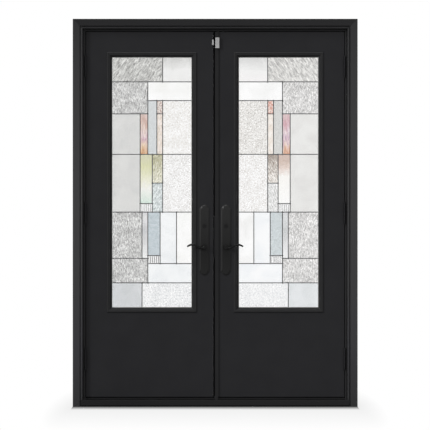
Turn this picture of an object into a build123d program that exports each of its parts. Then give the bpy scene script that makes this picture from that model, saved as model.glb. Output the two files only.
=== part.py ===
"""Steel double entry door in its frame, with leaded glass in both leaves.

X is to the right and Y away from someone who stands outside, Z is up. The origin is under the middle of the
sill, at the middle of the leaf thickness. Everything is in millimetres. Both halves of the unit are drawn on
the right, at +X, and mirrored for the left.
"""

import os

from build123d import *

# Outside of the unit and its casing
frame_width = 1905.0
frame_height = 2594.0
casing_width = 67.0
casing_depth = 32.0
casing_band = 46.0
casing_groove = 8.0
casing_edge_round = 2.0

# Jambs, with a rabbet for the leaf and a stop behind it
jamb_reveal = 17.0
head_reveal = 13.5
jamb_rabbet_wall = 30.0
jamb_set_out = 2.0
jamb_depth = 167.0
stop_height = 12.0
stop_gap = 6.0
quirk_width = 6.0
quirk_depth = 5.0
kerf_width = 2.4
kerf_depth = 8.0
kerf_inset = 2.0

# Fixing holes through the jambs
fixing_hole_r = 4.0
fixing_cap_r = 8.0
fixing_cap_depth = 10.0
fixing_back_inset = 23.0
fixing_pitch_y = 70.0
fixing_end_inset = 250.0

# Leaves
leaf_thickness = 44.0
leaf_gap = 4.5
meeting_half_gap = 13.4
leaf_bottom = 65.0
skin = 0.8
skin_seam = 2.0
stile_width = 38.0
rail_height = 38.0

# Glazed opening of each leaf, measured on the glass that shows
lite_from_meeting_edge = 144.4
lite_from_hinge_edge = 173.2
lite_above_leaf_bottom = 598.7
lite_below_leaf_top = 170.6
lite_frame_width = 33.0
lite_frame_proud = 7.5
lite_frame_round = 1.6
lite_lip = 1.2
glass_bite = 14.0
unit_thickness = 25.0
pane_thickness = 4.0
cut_out_margin = 25.0

# Leaded panel between the panes
came_flange = 6.0
came_web = 1.5
came_leaf = 1.3
leaded_glass = 4.0
spacer_width = 10.0
reeds_across = 6
reed_rise = 1.2
column_shares = (0.0, 0.353, 0.377, 0.45, 0.505, 0.563, 0.604, 0.636, 0.81, 1.0)
row_shares = (0.0, 0.098, 0.173, 0.226, 0.388, 0.503, 0.585, 0.619, 0.793, 0.804, 0.825, 0.902, 1.0)

# Hinges, three to a leaf
hinge_height = 142.0
hinge_plate = 3.0
hinge_plate_depth = 32.0
knuckle_r = 7.5
knuckle_count = 5
pin_r = 3.0
pin_head_r = 5.0
pin_head_rise = 4.0
bottom_hinge_up = 252.7
top_hinge_down = 233.4

# Lock furniture
backset = 58.6
lever_above_leaf_bottom = 1000.0
cylinder_above_lever = 143.0
plate_width = 67.0
plate_below_lever = 186.0
plate_above_cylinder = 143.0
plate_thickness = 8.0
plate_edge = 3.0
plate_bevel = 9.0
plate_arch_rise = 25.0
plate_shoulder = 7.0
plate_wall = 2.5
rose_r = 24.0
rose_rise = 3.0
rose_dish_r = 19.0
rose_dish_depth = 3.5
hub_r = 13.0
shank_r = 10.0
hub_end_proud = 44.0
spindle_side = 8.0
follower_r = 8.7
lever_thickness = 13.5
lever_depth = 15.0
lever_axis_proud = 37.0
lever_reach = 116.0
lever_dip = 5.0
lever_rise = 18.0
lever_tip_rise = 6.5
lever_end_round = 3.0
cylinder_r = 14.5
keyway_width = 2.2
keyway_height = 9.0
rib_pitch = 7.0
rib_rise = 3.0
rib_length = 20.0
rib_step = 4.0
turn_shaft_r = 4.0
turn_length = 34.0
turn_width = 11.0
turn_proud = 26.0
turn_collar = 3.0
turn_edge = 1.5

# Lock cases and bolts
case_depth = 85.0
case_thickness = 18.0
case_wall = 2.0
case_margin = 55.0
faceplate_thickness = 3.0
faceplate_width = 25.0
faceplate_margin = 23.5
latch_height = 16.0
latch_thickness = 11.0
latch_length = 49.0
latch_throw = 12.7
bolt_height = 32.0
bolt_thickness = 12.0
bolt_throw = 20.0
bolt_held = 26.0
shoot_bolt_r = 6.0
shoot_bolt_throw = 16.0
shoot_bolt_in_case = 30.0
keeper_thickness = 2.0
keeper_length = 46.0
keeper_width = 22.0
bolt_room = 4.0

# Astragal on the edge of the right leaf
astragal_gap = 12.1
astragal_flange_lap = 16.0
astragal_flange = 3.0
astragal_wall = 2.5
astragal_line = 3.0
astragal_line_in = 3.8
astragal_line_depth = 2.2
strike_reach = 3.0
strike_margin = 13.5
strike_width = 30.0
seal_depth = 11.0
seal_wall = 1.6
stem_neck = 3.0
boot_lap = 6.0
boot_middle = 8.3
boot_width = 26.0
boot_thickness = 7.0

# Sill and its cap
sill_height = 45.0
sill_wall = 3.0
sill_ribs = 3
sill_foot = 9.0
sill_set_back = 2.0
cap_lip = 6.7
cap_lip_reach = 8.0
cap_wall = 2.5
tread_gap = 6.8
cap_stop_rise = 13.0
cap_stop_width = 12.0

# Sweep under each leaf
sweep_height = 10.0
sweep_width = 20.0
sweep_wall = 3.0
fin_thickness = 2.0
fin_count = 3

# Contact device
sensor_width = 26.0
sensor_height = 72.0
sensor_depth = 14.0
sensor_set_in = 3.3
magnet_width = 12.0
magnet_height = 36.0
magnet_depth = 11.0
magnet_up = 4.0
magnet_overhang = 4.6
device_below_leaf_top = 75.0
device_slot = 8.0
device_edge = 2.0

# Clearances
slip = 0.3
bore_slip = 0.5
glass_slip = 0.15
knuckle_gap = 0.3
touch = 0.3
seal_gap = 0.05

# Places that follow from the sizes
half_width = frame_width / 2
leaf_front = -leaf_thickness / 2
leaf_back = leaf_thickness / 2
jamb_front = leaf_front - jamb_set_out
jamb_back = jamb_front + jamb_depth
casing_front = jamb_front - casing_depth
casing_inner = half_width - casing_width
rabbet_x = casing_inner - jamb_reveal
rabbet_z = frame_height - casing_width - head_reveal
stop_face = leaf_back + stop_gap
stop_x = rabbet_x - stop_height
hinge_edge = rabbet_x - leaf_gap
meeting_edge = meeting_half_gap
leaf_top = rabbet_z - leaf_gap
jamb_top = rabbet_z + jamb_rabbet_wall
lite_x = (meeting_edge + lite_from_meeting_edge, hinge_edge - lite_from_hinge_edge)
lite_z = (leaf_bottom + lite_above_leaf_bottom, leaf_top - lite_below_leaf_top)
lite_mid = ((lite_x[0] + lite_x[1]) / 2, (lite_z[0] + lite_z[1]) / 2)
pin_x = rabbet_x - leaf_gap / 2
pin_y = jamb_front - touch - knuckle_r
hinge_ends = (leaf_bottom + bottom_hinge_up, leaf_top - top_hinge_down)
hinge_heights = (hinge_ends[0], sum(hinge_ends) / 2, hinge_ends[1])
fixing_heights = (fixing_end_inset, frame_height / 2, frame_height - fixing_end_inset)
lock_x = meeting_edge + backset
rod_x = meeting_edge + skin + stile_width / 2
lever_height = leaf_bottom + lever_above_leaf_bottom
cylinder_height = lever_height + cylinder_above_lever
plate_z = (lever_height - plate_below_lever, cylinder_height + plate_above_cylinder)
case_z = (lever_height - case_margin, cylinder_height + case_margin)
case_x = (meeting_edge + faceplate_thickness, meeting_edge + case_depth)
device_height = leaf_top - device_below_leaf_top
plate_front = leaf_front - plate_thickness
tread_z = leaf_bottom - tread_gap
cap_stop_z = leaf_bottom + cap_stop_rise
sill_front = casing_front + sill_set_back
cap_front = jamb_front - 2 * touch
horn_x = half_width - casing_band - casing_groove
astragal_left = astragal_gap - meeting_edge
astragal_right = meeting_edge + astragal_flange_lap
strike_x = -meeting_edge + strike_reach
keeper_depth = shoot_bolt_throw + bolt_room
bolt_length = bolt_throw + bolt_held


def block(x, y, z):
    """A box between two places along each axis."""
    spans = [sorted(span) for span in (x, y, z)]
    low = [span[0] for span in spans]
    return Pos(*low) * Box(*[span[1] - span[0] for span in spans], align=(Align.MIN,) * 3)


def bar(radius, ends):
    """A round bar as long as the way between two places, standing on z = 0."""
    return Cylinder(radius, abs(ends[1] - ends[0]), align=(Align.CENTER, Align.CENTER, Align.MIN))


def round_x(y, z, radius, x):
    return Pos(min(x), y, z) * Rot(0, 90, 0) * bar(radius, x)


def round_y(x, z, radius, y):
    return Pos(x, max(y), z) * Rot(90, 0, 0) * bar(radius, y)


def round_z(x, y, radius, z):
    return Pos(x, y, min(z)) * bar(radius, z)


def span(middle, length):
    return (middle - length / 2, middle + length / 2)


def grown(limits, margin):
    """A stretch made longer by a margin at both ends."""
    return (limits[0] - margin, limits[1] + margin)


def join(shapes):
    """One shape of all the given ones."""
    shapes = list(shapes)
    total = shapes[0]
    for shape in shapes[1:]:
        total = total + shape
    return total


def cut(shape, tools):
    for tool in tools:
        shape = shape - tool
    return shape


def on_side(shape, side):
    """The shape as drawn for the right, or its mirror image on the left."""
    return shape if side > 0 else mirror(shape, about=Plane.YZ)


def upright(profile, x, z):
    """A profile in x and y, carried up between two heights."""
    return Pos(x, 0, min(z)) * extrude(profile, abs(z[1] - z[0]))


def across_head(profile, z, half_length):
    """The same profile laid level, with its outer side up."""
    length = 2 * half_length
    return Pos(half_length, 0, z) * Rot(0, -90, 0) * extrude(profile, length)


def level_run(points, half_length):
    """A closed outline in y and z, carried across the unit."""
    face = Plane.YZ * make_face(Polyline(*points, close=True))
    return Pos(-half_length, 0, 0) * extrude(face, 2 * half_length, dir=(1, 0, 0))


def lite_ring(margin_out, margin_in, y):
    """A rectangular ring round the lite, between two margins outwards from its edge."""
    outer = block(grown(lite_x, margin_out), y, grown(lite_z, margin_out))
    return outer - block(grown(lite_x, margin_in), y, grown(lite_z, margin_in))


# Frame

def casing_profile():
    """Flat band outside, then a groove and a bead; x runs inwards from the outer edge as a minus."""
    bead_r = (casing_width - casing_band - casing_groove) / 2
    bead_x = -(casing_width - bead_r)
    bead_y = casing_front + 1 + bead_r
    groove_end = bead_x + bead_r
    groove_y = casing_front + 0.75 * bead_r
    lines = Polyline(
        (-casing_width, bead_y),
        (-casing_width, jamb_front),
        (0, jamb_front),
        (0, casing_front + casing_edge_round),
        (-casing_edge_round, casing_front),
        (-casing_band, casing_front),
        (-casing_band, groove_y),
    )
    groove = ThreePointArc(
        (-casing_band, groove_y),
        ((groove_end - casing_band) / 2, groove_y + casing_groove / 2),
        (groove_end, bead_y),
    )
    bead = ThreePointArc((groove_end, bead_y), (bead_x, bead_y - bead_r), (bead_x - bead_r, bead_y))
    return make_face(lines + groove + bead)


def mitre_wedge(above):
    """A triangle over, or under, the mitre line of the right top corner, through the casing."""
    reach = 2 * casing_width
    outer = (half_width, frame_height)
    inner = (half_width - reach, frame_height - reach)
    third = (inner[0], outer[1]) if above else (outer[0], inner[1])
    face = Plane.XZ * make_face(Polyline(inner, outer, third, close=True))
    return Pos(0, jamb_front, 0) * extrude(face, 2 * casing_depth, both=True, dir=(0, 1, 0))


def casing_leg():
    leg = upright(casing_profile(), half_width, (0, frame_height)) - mitre_wedge(True)
    notch = block((0, horn_x + bore_slip), (casing_front - 1, jamb_front + 1), (-1, sill_height + touch))
    return leg - notch


def casing_head():
    head = across_head(casing_profile(), frame_height, half_width)
    wedge = mitre_wedge(False)
    return head - wedge - mirror(wedge, about=Plane.YZ)


def jamb_profile(reveal):
    """x is 0 on the rabbet face and grows away from the doorway."""
    outline = make_face(
        Polyline(
            (0, jamb_front),
            (jamb_rabbet_wall, jamb_front),
            (jamb_rabbet_wall, jamb_back),
            (-stop_height, jamb_back),
            (-stop_height, stop_face),
            (0, stop_face),
            close=True,
        )
    )
    quirk = Pos(reveal - quirk_width / 2, jamb_front) * Rectangle(quirk_width, 2 * quirk_depth)
    kerf = Pos(-kerf_inset, stop_face) * Rectangle(kerf_width, 2 * kerf_depth)
    return outline - quirk - kerf


def hinge_plate_block(edge, outward, mid_z):
    """The flat of a hinge plate let into an edge; outward is +1 into the jamb, -1 into the leaf."""
    front = leaf_front if outward < 0 else jamb_front
    x = (edge, edge + outward * hinge_plate)
    return block(x, (front, leaf_front + hinge_plate_depth), span(mid_z, hinge_height))


def fixing_holes():
    """Screw holes in pairs through the stop part of a jamb, with a pocket for the cap."""
    rows = (jamb_back - fixing_back_inset, jamb_back - fixing_back_inset - fixing_pitch_y)
    holes = []
    for y in rows:
        for z in fixing_heights:
            holes.append(round_x(y, z, fixing_hole_r, (stop_x - 1, rabbet_x + jamb_rabbet_wall + 1)))
            holes.append(round_x(y, z, fixing_cap_r, (stop_x - 1, stop_x + fixing_cap_depth)))
    return holes


def side_jamb():
    jamb = upright(jamb_profile(jamb_reveal), rabbet_x, (0, jamb_top))
    mortises = [hinge_plate_block(rabbet_x, 1, z) for z in hinge_heights]
    return cut(jamb, mortises + fixing_holes())


def head_jamb():
    """Coped between the side jambs, with the hole and recess of the upper keeper."""
    head = across_head(jamb_profile(head_reveal), rabbet_z, rabbet_x + jamb_rabbet_wall)
    sides = [jamb_room(1, jamb_top), jamb_room(-1, jamb_top)]
    hole = round_z(rod_x, 0, shoot_bolt_r + bore_slip, (rabbet_z, rabbet_z + keeper_depth))
    return cut(head, sides + [keeper_recess(rabbet_z, 1), hole])


def keeper_recess(face_z, up):
    return block(span(rod_x, keeper_length), span(0, keeper_width), (face_z, face_z + up * keeper_thickness))


def bolt_keepers():
    """Plates round the holes that take the shoot bolts, flush in the head and in the sill cap."""
    plates = []
    for face_z, up in ((rabbet_z, 1), (tread_z, -1)):
        hole = round_z(rod_x, 0, shoot_bolt_r + bore_slip, (face_z - keeper_depth, face_z + keeper_depth))
        plates.append(keeper_recess(face_z, up) - hole)
    return plates


def sill():
    """Hollow base with ribs; its horns run out under the bead of the casing legs."""
    y0 = sill_front
    z1 = sill_height
    body = level_run(
        (
            (y0 + sill_foot, 0),
            (y0 + sill_foot, sill_foot / 2),
            (y0, sill_foot),
            (y0, z1 - 2),
            (y0 + 2, z1),
            (jamb_back, z1),
            (jamb_back, 0),
        ),
        horn_x,
    )
    first = y0 + sill_foot + sill_wall
    cell = (jamb_back - first - sill_wall * (sill_ribs + 1)) / (sill_ribs + 1)
    cells = []
    for n in range(sill_ribs + 1):
        start = first + n * (cell + sill_wall)
        cells.append(block((-horn_x - 1, horn_x + 1), (start, start + cell), (sill_wall, z1 - sill_wall)))
    ends = [jamb_room(1, z1), jamb_room(-1, z1)]
    return cut(body, cells + ends)


def jamb_room(side, top):
    """The room that a side jamb takes where the head, the sill and its cap meet it."""
    rabbet = block((rabbet_x, half_width), (jamb_front, jamb_back + 1), (-1, top + 1))
    stop = block((stop_x, half_width), (stop_face, jamb_back + 1), (-1, top + 1))
    return on_side(rabbet + stop, side)


def sill_cap():
    """Tread under the leaves, with a lip in front and a bumper stop behind them."""
    recess = cap_front + cap_lip_reach
    slope_end = tread_z + 2
    body = level_run(
        (
            (recess, sill_height),
            (recess, tread_z - cap_lip),
            (cap_front, tread_z - cap_lip),
            (cap_front, tread_z),
            (stop_face, tread_z),
            (stop_face, cap_stop_z),
            (stop_face + cap_stop_width, cap_stop_z),
            (jamb_back, slope_end),
            (jamb_back, sill_height),
        ),
        rabbet_x,
    )
    room = (-rabbet_x - 1, rabbet_x + 1)
    front_cell = block(
        room,
        (recess + cap_wall, stop_face - cap_wall),
        (sill_height + cap_wall, tread_z - cap_wall),
    )
    back_cell = block(
        room,
        (stop_face + kerf_depth + cap_wall, jamb_back - cap_wall),
        (sill_height + cap_wall, slope_end - cap_wall),
    )
    kerf_z = cap_stop_z - stop_height + kerf_inset
    kerf = block(room, (stop_face - 1, stop_face + kerf_depth), span(kerf_z, kerf_width))
    hole_z = (tread_z - keeper_thickness - cap_wall - 1, tread_z + 1)
    hole = round_z(rod_x, 0, shoot_bolt_r + bore_slip, hole_z)
    parts = [front_cell, back_cell, kerf, hole, keeper_recess(tread_z, -1)]
    return cut(body, parts + [jamb_room(1, cap_stop_z), jamb_room(-1, cap_stop_z)])


def seal_profile():
    """A soft bulb against the back of the leaf with its barb in the kerf of the stop."""
    depth = stop_gap - touch
    width = stop_height - kerf_inset
    bulb = Pos(-width / 2 - slip, stop_face - depth / 2) * RectangleRounded(width - slip, depth, depth / 3)
    barb = Pos(-kerf_inset, stop_face + kerf_depth / 2 - 1) * Rectangle(kerf_width - 2 * slip, kerf_depth)
    return bulb + barb


def weatherstrips():
    """Lengths up both jambs, along the head and on the stop of the sill cap."""
    side_top = rabbet_z
    side_strip = upright(seal_profile(), rabbet_x, (cap_stop_z + touch, side_top))
    clear = stop_x - touch
    head_strip = across_head(seal_profile(), rabbet_z, clear)
    sill_strip = Pos(-clear, 0, cap_stop_z - stop_height) * Rot(0, 90, 0) * extrude(seal_profile(), 2 * clear)
    return [side_strip, mirror(side_strip, about=Plane.YZ), head_strip, sill_strip]


# Hinges

def knuckle_spans(mid_z):
    """Heights of the knuckles, bottom first; the odd ones belong to the jamb."""
    pitch = hinge_height / knuckle_count
    bottom = mid_z - hinge_height / 2
    return [(bottom + n * pitch, bottom + (n + 1) * pitch) for n in range(knuckle_count)]


def hinge_half(mid_z, on_leaf):
    """A plate with its own knuckles, cleared round the other plate's knuckles."""
    edge = hinge_edge if on_leaf else rabbet_x
    outward = -1 if on_leaf else 1
    spans = knuckle_spans(mid_z)
    own = spans[1::2] if on_leaf else spans[0::2]
    other = spans[0::2] if on_leaf else spans[1::2]
    x = (edge, edge + outward * hinge_plate)
    plate = block(x, (pin_y, leaf_front + hinge_plate_depth), span(mid_z, hinge_height))
    for low, high in other:
        plate = plate - round_z(pin_x, pin_y, knuckle_r + slip, (low - knuckle_gap, high + knuckle_gap))
    for low, high in own:
        plate = plate + round_z(pin_x, pin_y, knuckle_r, (low + knuckle_gap / 2, high - knuckle_gap / 2))
    return plate - round_z(pin_x, pin_y, pin_r + slip / 3, span(mid_z, 2 * hinge_height))


def hinge_pin(mid_z):
    shaft = round_z(pin_x, pin_y, pin_r, span(mid_z, hinge_height + 2))
    ends = []
    for up in (-1, 1):
        base = mid_z + up * (hinge_height / 2)
        cap = round_z(pin_x, pin_y, pin_head_r, (base, base + up * pin_head_rise))
        rim = cap.edges().filter_by(GeomType.CIRCLE).sort_by(Axis.Z)[-1 if up > 0 else 0]
        ends.append(fillet(rim, pin_head_rise * 0.7))
    return join([shaft] + ends)


# Leaves

def faceplate():
    """Plate in the meeting edge that carries the lock case."""
    x = (meeting_edge, meeting_edge + faceplate_thickness)
    return block(x, span(0, faceplate_width), grown(case_z, faceplate_margin))


def leaf_cuts():
    """Rooms in the leaf for hinges, lock plate and the furniture's shanks."""
    mortises = [hinge_plate_block(hinge_edge, -1, z) for z in hinge_heights]
    through = (leaf_front - 1, leaf_back + 1)
    lever_bore = round_y(lock_x, lever_height, shank_r + bore_slip, through)
    cylinder_bore = round_y(lock_x, cylinder_height, cylinder_r + bore_slip, through)
    return mortises + [faceplate(), lever_bore, cylinder_bore]


def lite_cut_out():
    x = grown(lite_x, cut_out_margin)
    return block(x, (leaf_front - 1, leaf_back + 1), grown(lite_z, cut_out_margin))


def outer_skin():
    """A sheet folded back along both upright edges of the leaf."""
    z = (leaf_bottom, leaf_top)
    sheet = block((meeting_edge, hinge_edge), (leaf_front, leaf_front + skin), z)
    near = block((meeting_edge, meeting_edge + skin), (leaf_front, -skin_seam / 2), z)
    far = block((hinge_edge - skin, hinge_edge), (leaf_front, -skin_seam / 2), z)
    return cut(sheet + near + far, leaf_cuts() + [lite_cut_out()])


def lock_case_room():
    x = (meeting_edge, case_x[1] + slip)
    return block(x, span(0, case_thickness + 2 * slip), grown(case_z, slip))


def sweep_room():
    z = (leaf_bottom - 1, leaf_bottom + sweep_height + slip)
    return block((meeting_edge - 1, hinge_edge + 1), span(0, sweep_width + 2 * slip), z)


def rod_bore(z):
    return round_z(rod_x, 0, shoot_bolt_r + bore_slip, z)


def edge_frame(has_rods):
    """Two stiles and two rails inside the skins."""
    inside = (leaf_front + skin, leaf_back - skin)
    whole = (leaf_bottom, leaf_top)
    lock_stile = block((meeting_edge + skin, meeting_edge + skin + stile_width), inside, whole)
    hinge_stile = block((hinge_edge - skin - stile_width, hinge_edge - skin), inside, whole)
    between = (meeting_edge + skin + stile_width, hinge_edge - skin - stile_width)
    bottom_rail = block(between, inside, (leaf_bottom, leaf_bottom + rail_height))
    top_rail = block(between, inside, (leaf_top - rail_height, leaf_top))
    rooms = leaf_cuts() + [lock_case_room(), sweep_room()]
    if has_rods:
        rooms.append(rod_bore((leaf_bottom - 1, leaf_top + 1)))
    return [cut(piece, rooms) for piece in (lock_stile, hinge_stile, bottom_rail, top_rail)]


def core():
    foam = block(
        (meeting_edge + skin + stile_width, hinge_edge - skin - stile_width),
        (leaf_front + skin, leaf_back - skin),
        (leaf_bottom + rail_height, leaf_top - rail_height),
    )
    return cut(foam, leaf_cuts() + [lock_case_room(), lite_cut_out()])


def lite_frame():
    """Outer half: a slope up from the glass, a flat and a raised rim, with a spigot through the cut-out."""
    glass_y = -unit_thickness / 2 - slip / 2
    crown_y = leaf_front - lite_frame_proud
    inner_foot = glass_bite + slip
    outer_foot = cut_out_margin - slip
    section = (
        (0, glass_y),
        (0, glass_y - lite_lip),
        (lite_frame_width * 0.46, crown_y + lite_frame_round),
        (lite_frame_width * 0.66, crown_y + lite_frame_round),
        (lite_frame_width * 0.76, crown_y),
        (lite_frame_width * 0.86, crown_y),
        (lite_frame_width, crown_y + 2 * lite_frame_round),
        (lite_frame_width, leaf_front),
        (outer_foot, leaf_front),
        (outer_foot, -slip / 4),
        (inner_foot, -slip / 4),
        (inner_foot, glass_y),
    )
    # The section stands on the middle of the left side of the opening and goes round it
    face = Plane((lite_x[0], 0, lite_mid[1]), x_dir=(-1, 0, 0), z_dir=(0, 0, 1)) * make_face(
        Polyline(*[(u, -y) for u, y in section], close=True)
    )
    corners = ((lite_x[0], lite_z[1]), (lite_x[1], lite_z[1]), (lite_x[1], lite_z[0]), (lite_x[0], lite_z[0]))
    start = (lite_x[0], 0, lite_mid[1])
    path = Polyline(start, *[(x, 0, z) for x, z in corners], start)
    return sweep(face, path=path, transition=Transition.RIGHT)


def glass_panes():
    x = (lite_x[0] - glass_bite, lite_x[1] + glass_bite)
    z = (lite_z[0] - glass_bite, lite_z[1] + glass_bite)
    half = unit_thickness / 2
    return [block(x, (-half, -half + pane_thickness), z), block(x, (half - pane_thickness, half), z)]


# Leaded panel: each cell is two column lines and two row lines, counted from the hinge side and the top
heavy_cells = ((0, 7, 0, 1), (0, 3, 1, 3), (0, 2, 7, 9), (0, 3, 9, 11))
faint_cells = ((7, 9, 2, 4), (7, 9, 4, 7), (2, 9, 11, 12))
clear_cells = (
    (7, 9, 0, 1),
    (3, 9, 1, 2),
    (0, 1, 3, 4),
    (0, 1, 4, 7),
    (0, 2, 11, 12),
    (2, 3, 7, 9),
    (8, 9, 7, 10),
)
tinted_cells = (
    (1, 3, 3, 4),
    (3, 5, 2, 4),
    (5, 7, 2, 3),
    (5, 7, 3, 4),
    (1, 4, 4, 6),
    (4, 7, 4, 5),
    (4, 7, 5, 7),
    (3, 6, 7, 8),
    (6, 8, 7, 10),
    (3, 9, 10, 11),
)
reeded_cells = ((1, 4, 6, 7), (3, 6, 8, 10))
all_cells = heavy_cells + faint_cells + clear_cells + tinted_cells + reeded_cells


def came_lines(shares, limits):
    """Where the cames run, largest first; the outermost lie half a came behind the lite frame."""
    inner = [limits[1] - share * (limits[1] - limits[0]) for share in shares[1:-1]]
    return [limits[1] + came_flange / 2] + inner + [limits[0] - came_flange / 2]


def cell_spans(cell, inset):
    """Where a cell lies in x and z, drawn in by an inset on all sides."""
    x = [came_lines(column_shares, lite_x)[n] for n in cell[:2]]
    z = [came_lines(row_shares, lite_z)[n] for n in cell[2:]]
    return (x[1] + inset, x[0] - inset), (z[1] + inset, z[0] - inset)


def came():
    """One lattice of H-section lead with a deep border that spaces the panes."""
    half = leaded_glass / 2 + glass_slip + came_leaf
    edge = came_flange / 2
    lattice = block(grown(lite_x, edge), (-half, half), grown(lite_z, edge))
    pocket = leaded_glass / 2 + glass_slip
    for cell in all_cells:
        x, z = cell_spans(cell, came_flange / 2)
        lattice = lattice - block(x, (-half - 1, half + 1), z)
        x, z = cell_spans(cell, came_web / 2)
        lattice = lattice - block(x, (-pocket, pocket), z)
    spacer = unit_thickness / 2 - pane_thickness
    border = lite_ring(glass_bite, edge, (-half, half))
    border = border + lite_ring(glass_bite, glass_bite - spacer_width, (-spacer, spacer))
    return lattice + border


def flat_glass(cell):
    x, z = cell_spans(cell, came_web / 2 + glass_slip)
    return block(x, span(0, leaded_glass), z)


def reeded_glass(cell):
    """A flat piece with round upright reeds on its outer face, between the flanges."""
    x, z = cell_spans(cell, came_flange / 2 + slip)
    pitch = (x[1] - x[0]) / reeds_across
    face_y = -leaded_glass / 2
    front = []
    for n in range(reeds_across):
        start = x[0] + n * pitch
        crest = (start + pitch / 2, face_y - reed_rise)
        front.append(ThreePointArc((start, face_y), crest, (start + pitch, face_y)))
    back = Polyline((x[1], face_y), (x[1], 0), (x[0], 0), (x[0], face_y))
    return flat_glass(cell) + upright(make_face(join(front) + back), 0, z)


# Furniture

def plate_outline(inset, y):
    """Straight sides, small shoulders and an arch at both ends, as a face square to y."""
    w = plate_width / 2 - inset
    h = (plate_z[1] - plate_z[0]) / 2 - inset
    spring = h - plate_arch_rise
    arch_w = w - plate_shoulder
    arch_z = spring + plate_shoulder * 0.7
    side = Line((w, -spring), (w, spring))
    top = Line((w, spring), (arch_w, arch_z))
    arch = ThreePointArc((arch_w, arch_z), (0, h), (-arch_w, arch_z))
    top_end = Line((-arch_w, arch_z), (-w, spring))
    other = Line((-w, spring), (-w, -spring))
    low = Line((-w, -spring), (-arch_w, -arch_z))
    low_arch = ThreePointArc((-arch_w, -arch_z), (0, -h), (arch_w, -arch_z))
    low_end = Line((arch_w, -arch_z), (w, -spring))
    face = make_face([side, top, arch, top_end, other, low, low_arch, low_end])
    return Plane((lock_x, y, sum(plate_z) / 2), x_dir=(1, 0, 0), z_dir=(0, -1, 0)) * face


def escutcheon():
    """Tall plate with a bevelled rim, hollow at the back, dished round the lever."""
    edge = extrude(plate_outline(0, leaf_front), plate_edge)
    rim = plate_outline(0, leaf_front - plate_edge)
    bevel = loft([rim, plate_outline(plate_bevel, plate_front)], ruled=True)
    rose = round_y(lock_x, lever_height, rose_r, (plate_front - rose_rise, leaf_front - plate_wall))
    hollow = extrude(plate_outline(plate_bevel, leaf_front), plate_thickness - plate_wall)
    seats = round_y(lock_x, lever_height, rose_r, (leaf_front, plate_front))
    seats = seats + round_y(lock_x, cylinder_height, cylinder_r + 2 * plate_wall, (leaf_front, plate_front))
    rose_face = plate_front - rose_rise
    dish = round_y(lock_x, lever_height, rose_dish_r, (rose_face - 1, rose_face + rose_dish_depth))
    lever_hole = round_y(lock_x, lever_height, shank_r + slip, (rose_face - 1, leaf_front + 1))
    cylinder_hole = round_y(lock_x, cylinder_height, cylinder_r + slip, (plate_front - 1, leaf_front + 1))
    return edge + bevel - (hollow - seats) + rose - dish - lever_hole - cylinder_hole


def lever_arm(y):
    """A wave: down out of the hub, up and over, with the tip turned down; oval in section."""
    shape = (
        (0.035, -0.2 * lever_dip),
        (0.16, -lever_dip),
        (0.32, 0),
        (0.5, 0.6 * lever_rise),
        (0.67, lever_rise),
        (0.84, 0.84 * lever_rise),
        (1.0, lever_tip_rise),
    )
    wave = Spline(*[(lock_x + share * lever_reach, y, lever_height + up) for share, up in shape])
    stations = ((0, 1.0), (0.18, 1.0), (0.36, 1.0), (0.54, 1.0), (0.7, 0.98), (0.86, 0.9), (1, 0.78))
    sections = []
    for share, scale_down in stations:
        section = Ellipse(lever_depth / 2 * scale_down, lever_thickness / 2 * scale_down)
        sections.append(Plane(wave @ share, x_dir=(0, 1, 0), z_dir=wave % share) * section)
    arm = loft(sections)
    return fillet(arm.faces().sort_by(Axis.X)[-1].edges(), lever_end_round)


def lever(with_spindle):
    """Hub, arm and, on the outer one, the square spindle with its follower."""
    seat = plate_front - rose_rise + rose_dish_depth - slip
    hub = round_y(lock_x, lever_height, hub_r, (leaf_front - hub_end_proud, seat))
    hub = fillet(hub.edges().filter_by(GeomType.CIRCLE).sort_by(Axis.Y)[0], hub_r / 4)
    shank = round_y(lock_x, lever_height, shank_r, (leaf_front, seat))
    body = hub + shank + lever_arm(leaf_front - lever_axis_proud)
    if with_spindle:
        across = span(lock_x, spindle_side)
        square = block(across, (leaf_front, leaf_back - touch), span(lever_height, spindle_side))
        follower = round_y(lock_x, lever_height, follower_r, span(0, case_thickness - 2 * case_wall))
        return body + square + follower
    return body


def lock_case(is_active):
    """Case and faceplate, with the ways for spindle, bolts and rods."""
    case = block(case_x, span(0, case_thickness), case_z)
    through = (-case_thickness, case_thickness)
    follower_y = span(0, case_thickness - 2 * case_wall + 2 * slip)
    ways = [
        round_y(lock_x, lever_height, spindle_side * 0.75, through),
        round_y(lock_x, lever_height, follower_r + slip, follower_y),
        round_y(lock_x, cylinder_height, turn_shaft_r + slip, through),
    ]
    if is_active:
        inner = lock_x - follower_r - slip
        ways.append(latch_way((0, inner), slip))
        ways.append(bolt_way((0, lock_x), slip))
    else:
        ways.append(rod_bore((case_z[1] - shoot_bolt_in_case - touch, case_z[1] + 1)))
        ways.append(rod_bore((case_z[0] - 1, case_z[0] + shoot_bolt_in_case + touch)))
    return cut(case + faceplate(), ways)


def latch_way(x, clearance):
    """The room of the latch along a stretch of its line."""
    across = span(lever_height, latch_height + 2 * clearance)
    return block(x, span(0, latch_thickness + 2 * clearance), across)


def bolt_way(x, clearance):
    """The room of the dead bolt along a stretch of its line."""
    across = span(cylinder_height, bolt_height + 2 * clearance)
    return block(x, span(0, bolt_thickness + 2 * clearance), across)


def latch_bolt():
    """Its nose is bevelled on the side that meets the strike when the leaf closes."""
    tip = meeting_edge - latch_throw
    body = latch_way((tip, tip + latch_length), 0)
    edge = body.edges().filter_by(Axis.Z).group_by(Axis.X)[0].sort_by(Axis.Y)[-1]
    return chamfer(edge, latch_throw * 0.7, latch_thickness * 0.7)


def dead_bolt():
    tip = meeting_edge + touch
    body = bolt_way((tip, tip + bolt_length), 0)
    return chamfer(body.edges().group_by(Axis.X)[0], touch * 3)


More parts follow.
